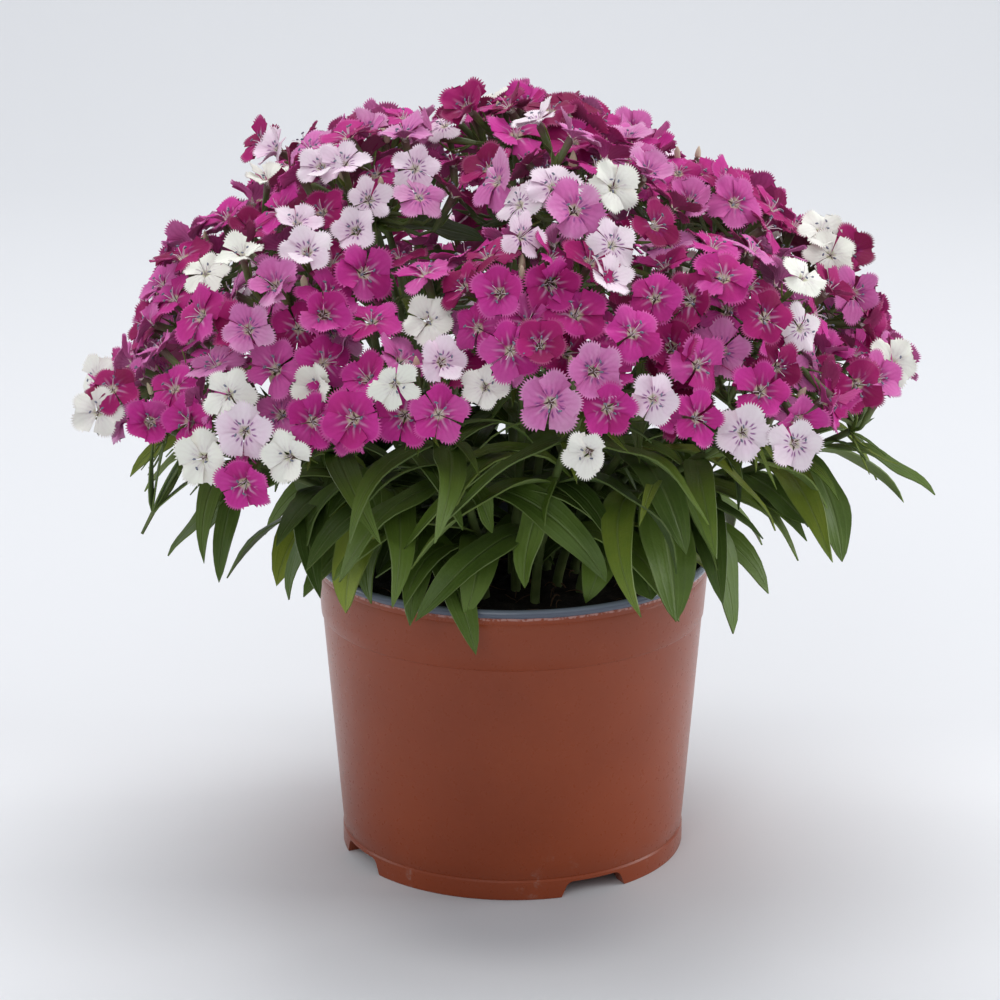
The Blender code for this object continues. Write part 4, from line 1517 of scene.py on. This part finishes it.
def layStrayShoot(stem, models, draw):
    joint, tail = Vector(strayShoot["joint"]), Vector(strayShoot["tail"])
    start = pointOnStem(stem, strayShoot["from"])
    leave, meet = Vector(strayShoot["leave"]), Vector(strayShoot["meet"])
    parts = [
        layStalk(models["pedicel"], (start, start + leave, joint + meet, joint), strayShoot["arm"]),
        layStalk(models["pedicel"], straight(joint, tail, 0.3, 0.7), strayShoot["stub"]),
    ]
    for length, rise, fall, azimuth in strayShoot["leaves"]:
        leaf = {
            "root": joint,
            "azimuth": math.radians(azimuth),
            "length": length,
            "width": strayShoot["width"],
            "rise": math.radians(rise),
            "fall": math.radians(fall),
            "thickness": thinLeaves["thickness"],
            "twist": draw.uniform(-0.5, 0.5),
            "sway": draw.uniform(-0.06, 0.06),
        }
        parts.append(layLeaf(models["thin"], leaf, draw.uniform(0.35, 0.6)))
    return parts


def foliageOf(stem, florets, models, draw):
    head = stem["head"]
    start = stem["route"][0]
    foot = start - Vector((0, 0, plant["stemStart"] + stemShape["sunk"]))
    below = ((0, stemShape["footRadius"]), (1, stemShape["footRadius"]))
    parts = [  # the stem itself, from just under the peat
        layStalk(models["peg"], straight(foot, start, 0.4, 0.8), below, level(head["azimuth"])),
        layStalk(models["stem"], stem["route"], stemRadii(), level(head["azimuth"])),
    ]
    tips = tipsOf(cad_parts["stem_" + head["number"]])
    for leaf in leavesOf(stem, tips):
        kind = "broad" if leaf["broad"] else "narrow"
        tone = draw.uniform(*leafShape["tones"][kind])
        if draw.random() < leafShape["yellowChance"]:
            tone = leafShape["tones"]["yellow"]
        drawApart(leaf, draw)
        parts.append(layLeaf(models[kind], leaf, tone))
        models["count"] += 1
    spin = draw.uniform(0, math.tau)
    for group in thinLeaves["groups"]:
        for facts in group["leaves"]:
            spin += math.pi / 2 + draw.uniform(-thinLeaves["spin"], thinLeaves["spin"])
            for side in (0, math.pi):
                leaf = drawLeaf(draw, pointOnStem(stem, facts["share"]), facts, spin + side)
                leaf["twist"] *= group["twist"]
                tone = draw.uniform(*group["tones"])
                if group["inGap"] or not reachesGap(leaf):
                    parts.append(layLeaf(models[group["model"]], leaf, tone))
    for share, facts in models["aimed"].get(head["number"], ()):
        parts.append(layLeaf(models["broad"], aimedLeaf(pointOnStem(stem, share), facts), facts["tone"]))
    parts += headGreens(head, florets, models, draw)
    if stem is models["strayStem"]:
        parts += layStrayShoot(stem, models, draw)
    foliage = joined(f"foliage_{head['number']}", parts)
    finishPiece(foliage, "leaf", f"stem_{head['number']}")


bractShape = {
    "thickness": 0.00035,
    "perHead": 13,
    "length": (0.014, 0.024),
    "width": 0.0021,
    "slope": (-12, 32),
    "tone": (0.4, 0.9),
    "curve": (-0.3, 0.5),
    "perFloret": 2,
    "floretLength": (0.007, 0.012),
    "floretWidth": 0.00147,
    "floretSlope": (45, 78),
    "floretTone": (0.4, 0.95),
    "floretCurve": 0.2,
}


def layBract(model, matrix, length, width, tone, curve):
    # a small leaf that leaves a point along the matrix's X axis and curves towards its Z axis
    leaf = {
        "root": Vector((0, 0, 0)),
        "azimuth": math.pi / 2,
        "length": length,
        "width": width,
        "rise": -curve,
        "fall": curve,
        "thickness": bractShape["thickness"],
    }
    piece = layLeaf(model, leaf, tone)
    piece.data.transform(matrix)
    return piece


def calyxFoot(stand):
    reach = calyxShape["top"] - calyxShape["length"] * 0.97
    return stand["place"] + stand["look"] * reach * stand["size"]


def headGreens(head, florets, models, draw):
    # the pedicels, calyces, bracts and buds of one head
    shape = bractShape
    parts = []
    foot = head["core"] + head["axis"] * plant["coreFoot"] * head["size"]
    for k in range(shape["perHead"]):
        around = math.tau * (k + draw.uniform(-0.3, 0.3)) / shape["perHead"]
        slope = math.radians(draw.uniform(*shape["slope"]))
        turn = Matrix.Rotation(around, 4, "Z") @ Matrix.Rotation(-slope, 4, "Y")
        stand = head["matrix"].copy()
        stand.translation = foot
        length = draw.uniform(*shape["length"])
        tone = draw.uniform(*shape["tone"])
        curve = draw.uniform(*shape["curve"])
        parts.append(layBract(models["bract"], stand @ turn, length, shape["width"], tone, curve))
    for floret in florets:
        calyx = copyOf(models["calyx"])
        slim = Matrix.Diagonal((calyxShape["slim"], calyxShape["slim"], 1, 1))
        calyx.data.transform(floretMatrix(floret) @ slim)
        parts.append(calyx)
        base = calyxFoot(floret)
        parts.append(pedicelTo(head, foot, base, floret["look"], models))
        for _ in range(shape["perFloret"]):
            turn = Quaternion((0, 0, 1), draw.uniform(0, math.tau)).to_matrix().to_4x4()
            turn = turn @ Matrix.Rotation(-math.radians(draw.uniform(*shape["floretSlope"])), 4, "Y")
            stand = floret["look"].to_track_quat("Z", "Y").to_matrix().to_4x4()
            stand.translation = base
            length = draw.uniform(*shape["floretLength"])
            tone = draw.uniform(*shape["floretTone"])
            sizes = (length, shape["floretWidth"])
            parts.append(layBract(models["bract"], stand @ turn, *sizes, tone, shape["floretCurve"]))
    taken = [floret["place"] for floret in florets]
    for _ in range(budShape["perHead"]):
        spot, around = budSpot(head, taken, draw)
        taken.append(spot)
        upright = budShape["upright"]
        look = (spot - head["core"] + head["axis"] * upright + Vector((0, 0, upright))).normalized()
        bud = {"place": spot, "look": look, "spin": around, "size": draw.uniform(*budShape["size"])}
        for model in (models["calyx"], models["bud"]):
            piece = copyOf(model)
            piece.data.transform(floretMatrix(bud))
            paint(piece, "tint", draw.uniform(0.0, 0.5) ** 2)
            parts.append(piece)
        parts.append(pedicelTo(head, foot, calyxFoot(bud), look, models))
    return parts


def budSpot(head, taken, draw):
    # of many spots on the head, the one with the most room round it
    spots = []
    for _ in range(budShape["tries"]):
        around = draw.uniform(0, math.tau)
        far = draw.uniform(*budShape["reach"])
        spot = head["matrix"] @ onRing(around, far, capHeight(far) - budShape["sunk"])
        outward = (spot - head["core"]).dot(level(head["azimuth"]))
        room = min((spot - other).length for other in taken)
        tooFar = max(0.0, outward - budShape["outward"])
        spots.append((room - tooFar * budShape["outwardWeight"], spot, around))
    _, spot, around = max(spots, key=lambda each: each[0])
    return spot, around


def pedicelTo(head, foot, base, look, models):
    far = (base - foot).length
    route = (foot, foot + head["axis"] * far * 0.35, base - look * far * 0.35, base)
    return layStalk(models["pedicel"], route, stemShape["pedicel"])


def makeFoliage(stems, florets):
    upper = makeLeafMaterial("leafUpper", False)
    under = makeLeafMaterial("leafUnder", True)
    green = makeStemMaterial()
    models = {}
    for name, rows, columns, broad in leafShape["models"]:
        models[name] = modelLeaf(name + "Model", rows, columns, broad, upper, under)
    for name, sides, steps in stemShape["models"]:
        models[name] = modelStalk(name + "Model", sides, steps, green)
    models["calyx"] = modelCalyx(green)
    models["bud"] = modelBud(makeBudMaterial())
    made = list(models.values())
    models["count"] = 0
    stray = level(math.radians(strayShoot["azimuth"]))
    models["strayStem"] = max(stems, key=lambda stem: stem["head"]["core"].xy.dot(stray.xy))
    models["aimed"] = shareAimedLeaves(stems)
    draw = random.Random(thinLeaves["seed"])
    for stem in stems:
        own = [floret for floret in florets if floret["head"] is stem["head"]]
        foliageOf(stem, own, models, draw)
    print("foliage done:", models["count"], "leaves of the solids found")
    for model in made:
        bpy.data.objects.remove(model)


# The pot: satin terracotta plastic outside, slate inside and on its rolled rim

potShape = {
    "rim": 0.075,
    "height": 0.118,
    "base": 0.0655,
    "wall": 0.0014,
    "hubs": (0.012, 0.020, 0.002),  # radii of the innermost rings: underneath, then two inside
    "footHeight": 0.0075,
    "footOut": 0.0009,
    "footWidth": 0.006,
    "groove": 0.0003,
    "collar": 0.0235,
    "collarStep": 0.0005,
    "bead": 0.0032,
    "beadGap": 0.0008,
    "line": 0.00022,
    "beadOut": 0.0014,
    "corner": 0.0008,
    "sides": 144,
    "notches": 4,
    "firstNotch": 28.0,
    "notchTop": 0.022,
    "notchFoot": 0.028,
    "notchRound": 0.002,
    "drainRadius": 0.005,
    "drainInset": 0.0156,
}

potColours = {
    "terracotta": (0.272, 0.051, 0.014),
    "worn": (0.305, 0.068, 0.026),
    "deep": (0.225, 0.040, 0.011),
    "slate": (0.095, 0.112, 0.150),
    "trimmed": (0.46, 0.25, 0.22),
    # a painted highlight along the top of the rim bead
    "crest": (0.30, 0.35, 0.42),
    "dust": (0.42, 0.36, 0.32),
    "roughness": 0.29,
}


def wallRadius(height):
    return potShape["base"] + (potShape["rim"] - potShape["base"]) * height / potShape["height"]


def arc(middle, radius, fromDegrees, toDegrees, steps):
    points = []
    for k in range(steps + 1):
        turn = math.radians(fromDegrees + (toDegrees - fromDegrees) * k / steps)
        points.append((middle[0] + radius * math.cos(turn), middle[1] + radius * math.sin(turn)))
    return points


def upTheWall(low, high, shares, out=0.0):
    # points of the sloping wall from one height to another
    heights = [low + (high - low) * share for share in shares]
    return [(wallRadius(height) + out, height) for height in heights]


def potProfile():
    shape = potShape
    wall, small, step = shape["wall"], shape["corner"], shape["collarStep"]
    foot = shape["base"] + shape["footOut"]
    inner = foot - shape["footWidth"]
    over = shape["footHeight"]
    collar = shape["height"] - shape["collar"]
    bead = shape["height"] - shape["bead"]
    hub, wideHub, lastHub = shape["hubs"]
    profile = [(hub, over - wall), (inner - small, over - wall), (inner, over - wall - small)]
    profile += [(inner, small * 0.4), (inner + small * 0.4, 0.0), (foot - small * 0.5, 0.0)]
    profile += [(foot - small * 0.1, small * 0.15), (foot, small * 0.5), (foot, over - small * 0.5)]
    profile += [(foot - small * 0.4, over), (wallRadius(over) - shape["groove"], over + small * 0.4)]
    profile += [(wallRadius(over), over + small)]
    profile += upTheWall(over + small, collar - small, [k / 12 for k in range(1, 13)])
    profile += [(wallRadius(collar) + step * 0.5, collar - small * 0.5), (wallRadius(collar) + step, collar)]
    underBead = bead - shape["beadGap"]
    profile += upTheWall(collar, underBead, (0.25, 0.5, 0.75, 0.88), step)
    profile += upTheWall(collar, underBead, (0.91,), step - shape["line"])
    profile += upTheWall(collar, underBead, (0.94, 0.97, 1.0), step)
    radius = shape["bead"] / 2
    middle = (shape["rim"] + shape["beadOut"] - radius, shape["height"] - radius)
    profile += arc(middle, radius, -78, 100, 12)
    profile += [(shape["rim"] - wall, bead)]
    profile += upTheWall(bead - small, over + wall + small, [k / 8 for k in range(9)], -wall)
    ends = (wallRadius(over + wall) - wall - small, wideHub, lastHub)
    return profile + [(end, over + wall) for end in ends]


def notchCutter(azimuth):
    # a box whose sides slope in towards the top, with softened corners
    shape = potShape
    clearSelection()
    bpy.ops.mesh.primitive_cube_add(size=1)
    cutter = nameIt("notchCutter")
    high = shape["footHeight"] - shape["wall"] + shape["corner"]
    moveAt(cutter, everywhere, (0, 0, 0.5))
    resizeAt(cutter, everywhere, (shape["notchFoot"], 4 * shape["footWidth"], high))
    moveAt(cutter, everywhere, (0, 0, -shape["corner"]))
    resizeAt(cutter, lambda point: point.z > 0, (shape["notchTop"] / shape["notchFoot"], 1, 1))
    pick(cutter, "edge", lambda a, b: min(a.z, b.z) > 0 and abs(a.x - b.x) < nearly)
    bpy.ops.mesh.bevel(offset=shape["notchRound"], segments=4)
    clearSelection()
    turn = Matrix.Rotation(azimuth, 4, "Z") @ Matrix.Translation((0, -shape["base"], 0))
    cutter.data.transform(turn)
    return cutter


def drainCutter(azimuth):
    spot = level(azimuth) * (potShape["base"] - potShape["drainInset"])
    clearSelection()
    bpy.ops.mesh.primitive_cylinder_add(
        vertices=32,
        radius=potShape["drainRadius"],
        depth=6 * potShape["wall"],
        location=(spot.x, spot.y, potShape["footHeight"]),
    )
    bpy.ops.object.transform_apply(location=True, rotation=True, scale=True)
    return nameIt("drainCutter")


def makePotMaterial():
    kit = Kit("potPlastic")
    place = kit.place()
    x, y, z = kit.axes(place)
    radius = (x * x + y * y) ** 0.5
    cloud = kit.noise(14.0, 4.0, place)
    fine = kit.noise(1800.0, 2.0, place)
    grain = kit.noise(420.0, 4.0, place, 0.7)
    colour = kit.mix(cloud.between(0.3, 0.75), potColours["deep"], potColours["terracotta"])
    colour = kit.mix(grain.between(0.62, 0.8) * 0.25, colour, potColours["worn"])
    # scuffs and dust towards the foot
    scuff = kit.noise(60.0, 6.0, place, 0.75).between(0.58, 0.72) * z.between(0.030, 0.004)
    colour = kit.mix(scuff * 0.35, colour, potColours["dust"])
    # the slate layer shows on the rolled rim, where its trimmed edge wanders, and inside
    wander = (kit.noise(130.0, 3.0, place) - 0.5) * 0.0011
    trim = potShape["height"] - potShape["bead"]
    rim = (z + wander).between(trim - 0.0002, trim + 0.0002)
    slope = (potShape["rim"] - potShape["base"]) / potShape["height"]
    inner = (radius - z * slope).between(potShape["base"] - 0.0006, potShape["base"] - 0.0010)
    slate = kit.node("Math", {"operation": "MAXIMUM"}, {0: rim, 1: inner * z.between(0.008, 0.0086)})
    colour = kit.mix(slate, colour, potColours["slate"])
    # that edge is pale and ragged, and the top of the bead gets a painted highlight, a paler slate stripe
    # round the ring
    ragged = kit.noise(700.0, 3.0, place).between(0.42, 0.58)
    edge = (z + wander).between(trim - 0.0011, trim - 0.0007) * (1 - rim) * ragged
    colour = kit.mix(edge * 0.8, colour, potColours["trimmed"])
    # painted highlight: a paler stripe along the crest of the bead
    crest = z.between(potShape["height"] - 0.0014, potShape["height"] - 0.0006)
    colour = kit.mix(crest * 0.45, colour, potColours["crest"])
    # the plastic sheet has faint upright waves from being drawn into its form
    flow = kit.noise(3.0, 2.0, kit.node("Mapping", None, {"Vector": place, "Scale": (30.0, 30.0, 2.0)}))
    relief = fine * 0.25 + cloud * 0.6 + flow * 0.5 + grain * 0.2
    kit.set(
        BaseColor=colour,
        Roughness=potColours["roughness"] + (grain - 0.5) * 0.14 + scuff * 0.25 - slate * 0.16,
        SpecularIORLevel=0.36,
        Normal=kit.bump(relief, 0.00025, 0.35),
    )
    return kit.material


def makePot():
    pot = ringByRing("potShell", potProfile(), potShape["sides"])
    for k in range(potShape["notches"]):
        azimuth = math.radians(potShape["firstNotch"] + 360.0 * k / potShape["notches"])
        for cutter in (notchCutter(azimuth), drainCutter(azimuth)):
            applyModifier(pot, "BOOLEAN", operation="DIFFERENCE", object=cutter, solver="EXACT")
            bpy.data.objects.remove(cutter)
    dress(pot, makePotMaterial())
    smooth(pot, 32)
    finishPiece(pot, "pot", "pot")
    print("pot done")


# The peat: a crumbly surface, with fibres strewn over it

peatShape = {
    "rings": 46,
    "sides": 130,
    "mound": 0.0019,
    "crumb": 0.0017,
    "lump": 0.0022,
    "sideGap": 0.0009,
    "hub": 0.020,
    "waist": 0.060,
    "shoulder": 0.002,
    "lastRing": 0.0002,
    "fibres": 90,
    "fibreReach": 0.068,
    "fibreLength": (0.004, 0.014),
    "fibreHump": (0.0, 0.003),
    "fibreRadius": (0.00016, 0.00045),
    "fibreTips": 0.0002,
    "fibreMiddle": 0.0006,
    "seed": 31,
}

peatColours = {
    "crumb": ((0.30, (0.0035, 0.003, 0.002)), (0.52, (0.014, 0.010, 0.007)), (0.72, (0.050, 0.032, 0.020))),
    "fibre": ((0.30, (0.050, 0.028, 0.014)), (0.55, (0.15, 0.085, 0.045)), (0.75, (0.30, 0.20, 0.12))),
}


def makePeatMaterial(name, tones):
    kit = Kit(name)
    place = kit.place()
    big = kit.noise(220.0, 6.0, place, 0.7)
    fine = kit.noise(1500.0, 4.0, place, 0.7)
    colour = kit.ramp(big * 0.6 + fine * 0.4, tones)
    kit.set(
        BaseColor=colour,
        Roughness=0.95 - fine * 0.2,
        SpecularIORLevel=0.25,
        Normal=kit.bump(big + fine * 0.7, 0.0012, 1.0),
    )
    return kit.material


def peatSurface(x, y):
    spot = Vector((x, y, 0.0))
    height = peatShape["mound"] * (1 - (x * x + y * y) / potShape["rim"] ** 2)
    height += peatShape["lump"] * noise.noise(spot * 55) * 0.6
    height += peatShape["crumb"] * noise.turbulence(spot * 190, 3, False) - peatShape["crumb"] * 0.5
    return plant["peatLevel"] + height


def makePeat():
    inside = potShape["footHeight"] + potShape["wall"] + plant["gap"]
    inset = potShape["wall"] + peatShape["sideGap"]
    edge = wallRadius(plant["peatLevel"]) - inset
    waist = peatShape["waist"]
    profile = [(peatShape["hub"], inside), (wallRadius(inside) - inset, inside)]
    profile += [(wallRadius(waist) - inset, waist), (edge, plant["peatLevel"] - peatShape["shoulder"])]
    shares = [1 - k / peatShape["rings"] for k in range(peatShape["rings"])]
    profile += [(edge * share + peatShape["lastRing"], plant["peatLevel"]) for share in shares]
    soil = ringByRing("soil", profile, peatShape["sides"])
    points = pointsOf(soil)
    top = points[:, 2] > plant["peatLevel"] - 1e-4
    for k in np.nonzero(top)[0]:
        points[k, 2] = peatSurface(points[k, 0], points[k, 1])
    movePoints(soil, points)
    dress(soil, makePeatMaterial("peatCrumb", peatColours["crumb"]))
    smooth(soil, 40)
    bits = addFibres(makePeatMaterial("peatFibre", peatColours["fibre"]))
    whole = joined("soilWithFibres", [soil, *bits])
    finishPiece(whole, "peat", "peat")
    print("peat done")


def addFibres(material):
    shape = peatShape
    draw = random.Random(shape["seed"])
    rod = modelStalk("fibreModel", 4, 5, material)
    bits = []
    for _ in range(shape["fibres"]):
        around, far = draw.uniform(0, math.tau), shape["fibreReach"] * math.sqrt(draw.random())
        middle = onRing(around, far, 0.0)
        middle.z = peatSurface(middle.x, middle.y) + shape["fibreMiddle"]
        turn, length = draw.uniform(0, math.tau), draw.uniform(*shape["fibreLength"])
        ahead = Vector((math.cos(turn), math.sin(turn), 0)) * length
        hump = Vector((0, 0, draw.uniform(*shape["fibreHump"])))
        bend = Vector((-ahead.y, ahead.x, 0)) * draw.uniform(-0.5, 0.5)
        route = [middle - ahead / 2, middle - ahead / 6 + hump + bend]
        route += [middle + ahead / 6 + hump, middle + ahead / 2]
        for end in (route[0], route[3]):
            end.z = peatSurface(end.x, end.y) - shape["fibreTips"]
        radius = draw.uniform(*shape["fibreRadius"])
        bits.append(layStalk(rod, route, ((0, radius * 0.6), (0.5, radius), (1, radius * 0.5))))
    bpy.data.objects.remove(rod)
    return bits


# The studio: a pale sweep, soft lights and the camera

studio = {
    "floorColour": (0.74, 0.75, 0.775),
    # painted light on the paper beside the pot
    "floorLit": (0.825, 0.835, 0.86),
    "floorCloud": (0.70, 0.71, 0.73),
    # painted shadow on the paper close in front of the pot
    "floorShaded": (0.53, 0.54, 0.57),
    "floorSize": 8.0,
    "worldColour": (0.93, 0.96, 1.0),
    "worldStrength": 0.48,
    "lights": (
        # name, place, what it looks at, size, energy
        ("overhead", (-0.05, 0.50, 1.85), (0, -0.1, 0.1), 1.5, 21.5),
        ("backdrop", (0.0, 2.0, 2.0), (0, 2.4, 0.0), 1.6, 4.5),
        ("front", (-0.5, -1.9, 1.3), (0, 0, 0.1), 1.1, 8.0),
        ("sideRight", (1.7, 0.10, 0.6), (0, 0, 0.05), 0.9, 14.0),
        ("sideLeft", (-1.75, 0.20, 0.6), (0, 0, 0.05), 0.9, 5.0),
    ),
}


def makeFloorMaterial():
    kit = Kit("studioPaper")
    tone = kit.noise(2.0, 2.0)
    x, y, _ = kit.axes(kit.place())
    # painted light and shadow on the paper: paler beside the pot as painted light, and darker close in front
    # of it as a painted shadow
    beside = abs(x).between(0.05, 0.11) * abs(y + 0.04).between(0.17, 0.07)
    front = ((x * 0.8) ** 2 + (y + 0.082) ** 2) ** 0.5
    colour = kit.mix(tone * 0.06, studio["floorColour"], studio["floorCloud"])
    colour = kit.mix(beside, colour, studio["floorLit"])
    kit.set(
        BaseColor=kit.mix(front.between(0.056, 0.012), colour, studio["floorShaded"]),
        Roughness=0.85,
        SpecularIORLevel=0.2,
    )
    return kit.material


def makeStudio():
    clearSelection()
    bpy.ops.mesh.primitive_plane_add(size=studio["floorSize"], location=(0, 0, 0))
    floor = nameIt("studioSweep")
    pick(floor, "edge", lambda a, b: min(a.y, b.y) > studio["floorSize"] / 2 - nearly)
    bpy.ops.transform.translate(value=(0, -1.6, 0))
    bpy.ops.mesh.extrude_edges_move()
    bpy.ops.transform.translate(value=(0, 0, 4))
    pick(floor, "edge", lambda a, b: min(a.y, b.y) > 2.3 and max(a.z, b.z) < 0.1)
    bpy.ops.mesh.bevel(offset=1.2, segments=20)
    dress(floor, makeFloorMaterial())
    smooth(floor, 60)
    for name, place, aim, size, energy in studio["lights"]:
        bpy.ops.object.light_add(type="AREA", location=place)
        light = bpy.context.object
        light.name = name
        light.data.size = size
        light.data.energy = energy
        light.rotation_euler = (Vector(aim) - Vector(place)).to_track_quat("-Z", "Y").to_euler()
    world = bpy.data.worlds.new("studioWorld")
    world.use_nodes = True
    background = world.node_tree.nodes["Background"]
    background.inputs["Color"].default_value = (*studio["worldColour"], 1.0)
    background.inputs["Strength"].default_value = studio["worldStrength"]
    bpy.context.scene.world = world
    bpy.context.scene.view_settings.view_transform = "Standard"
    addCamera()
    print("studio done")


heads = planHeads()
stems = [planStem(head) for head in heads]
florets = planFlorets(heads)
matchSpots(florets)
spreadFlorets(florets)
florets = thinOut(florets)
tintFlorets(florets)
print("layout done:", sum(floret["fixed"] for floret in florets), "florets set by the photograph")
makePot()
makePeat()
makeBlooms(heads, florets)
makeFoliage(stems, florets)
makeStudio()
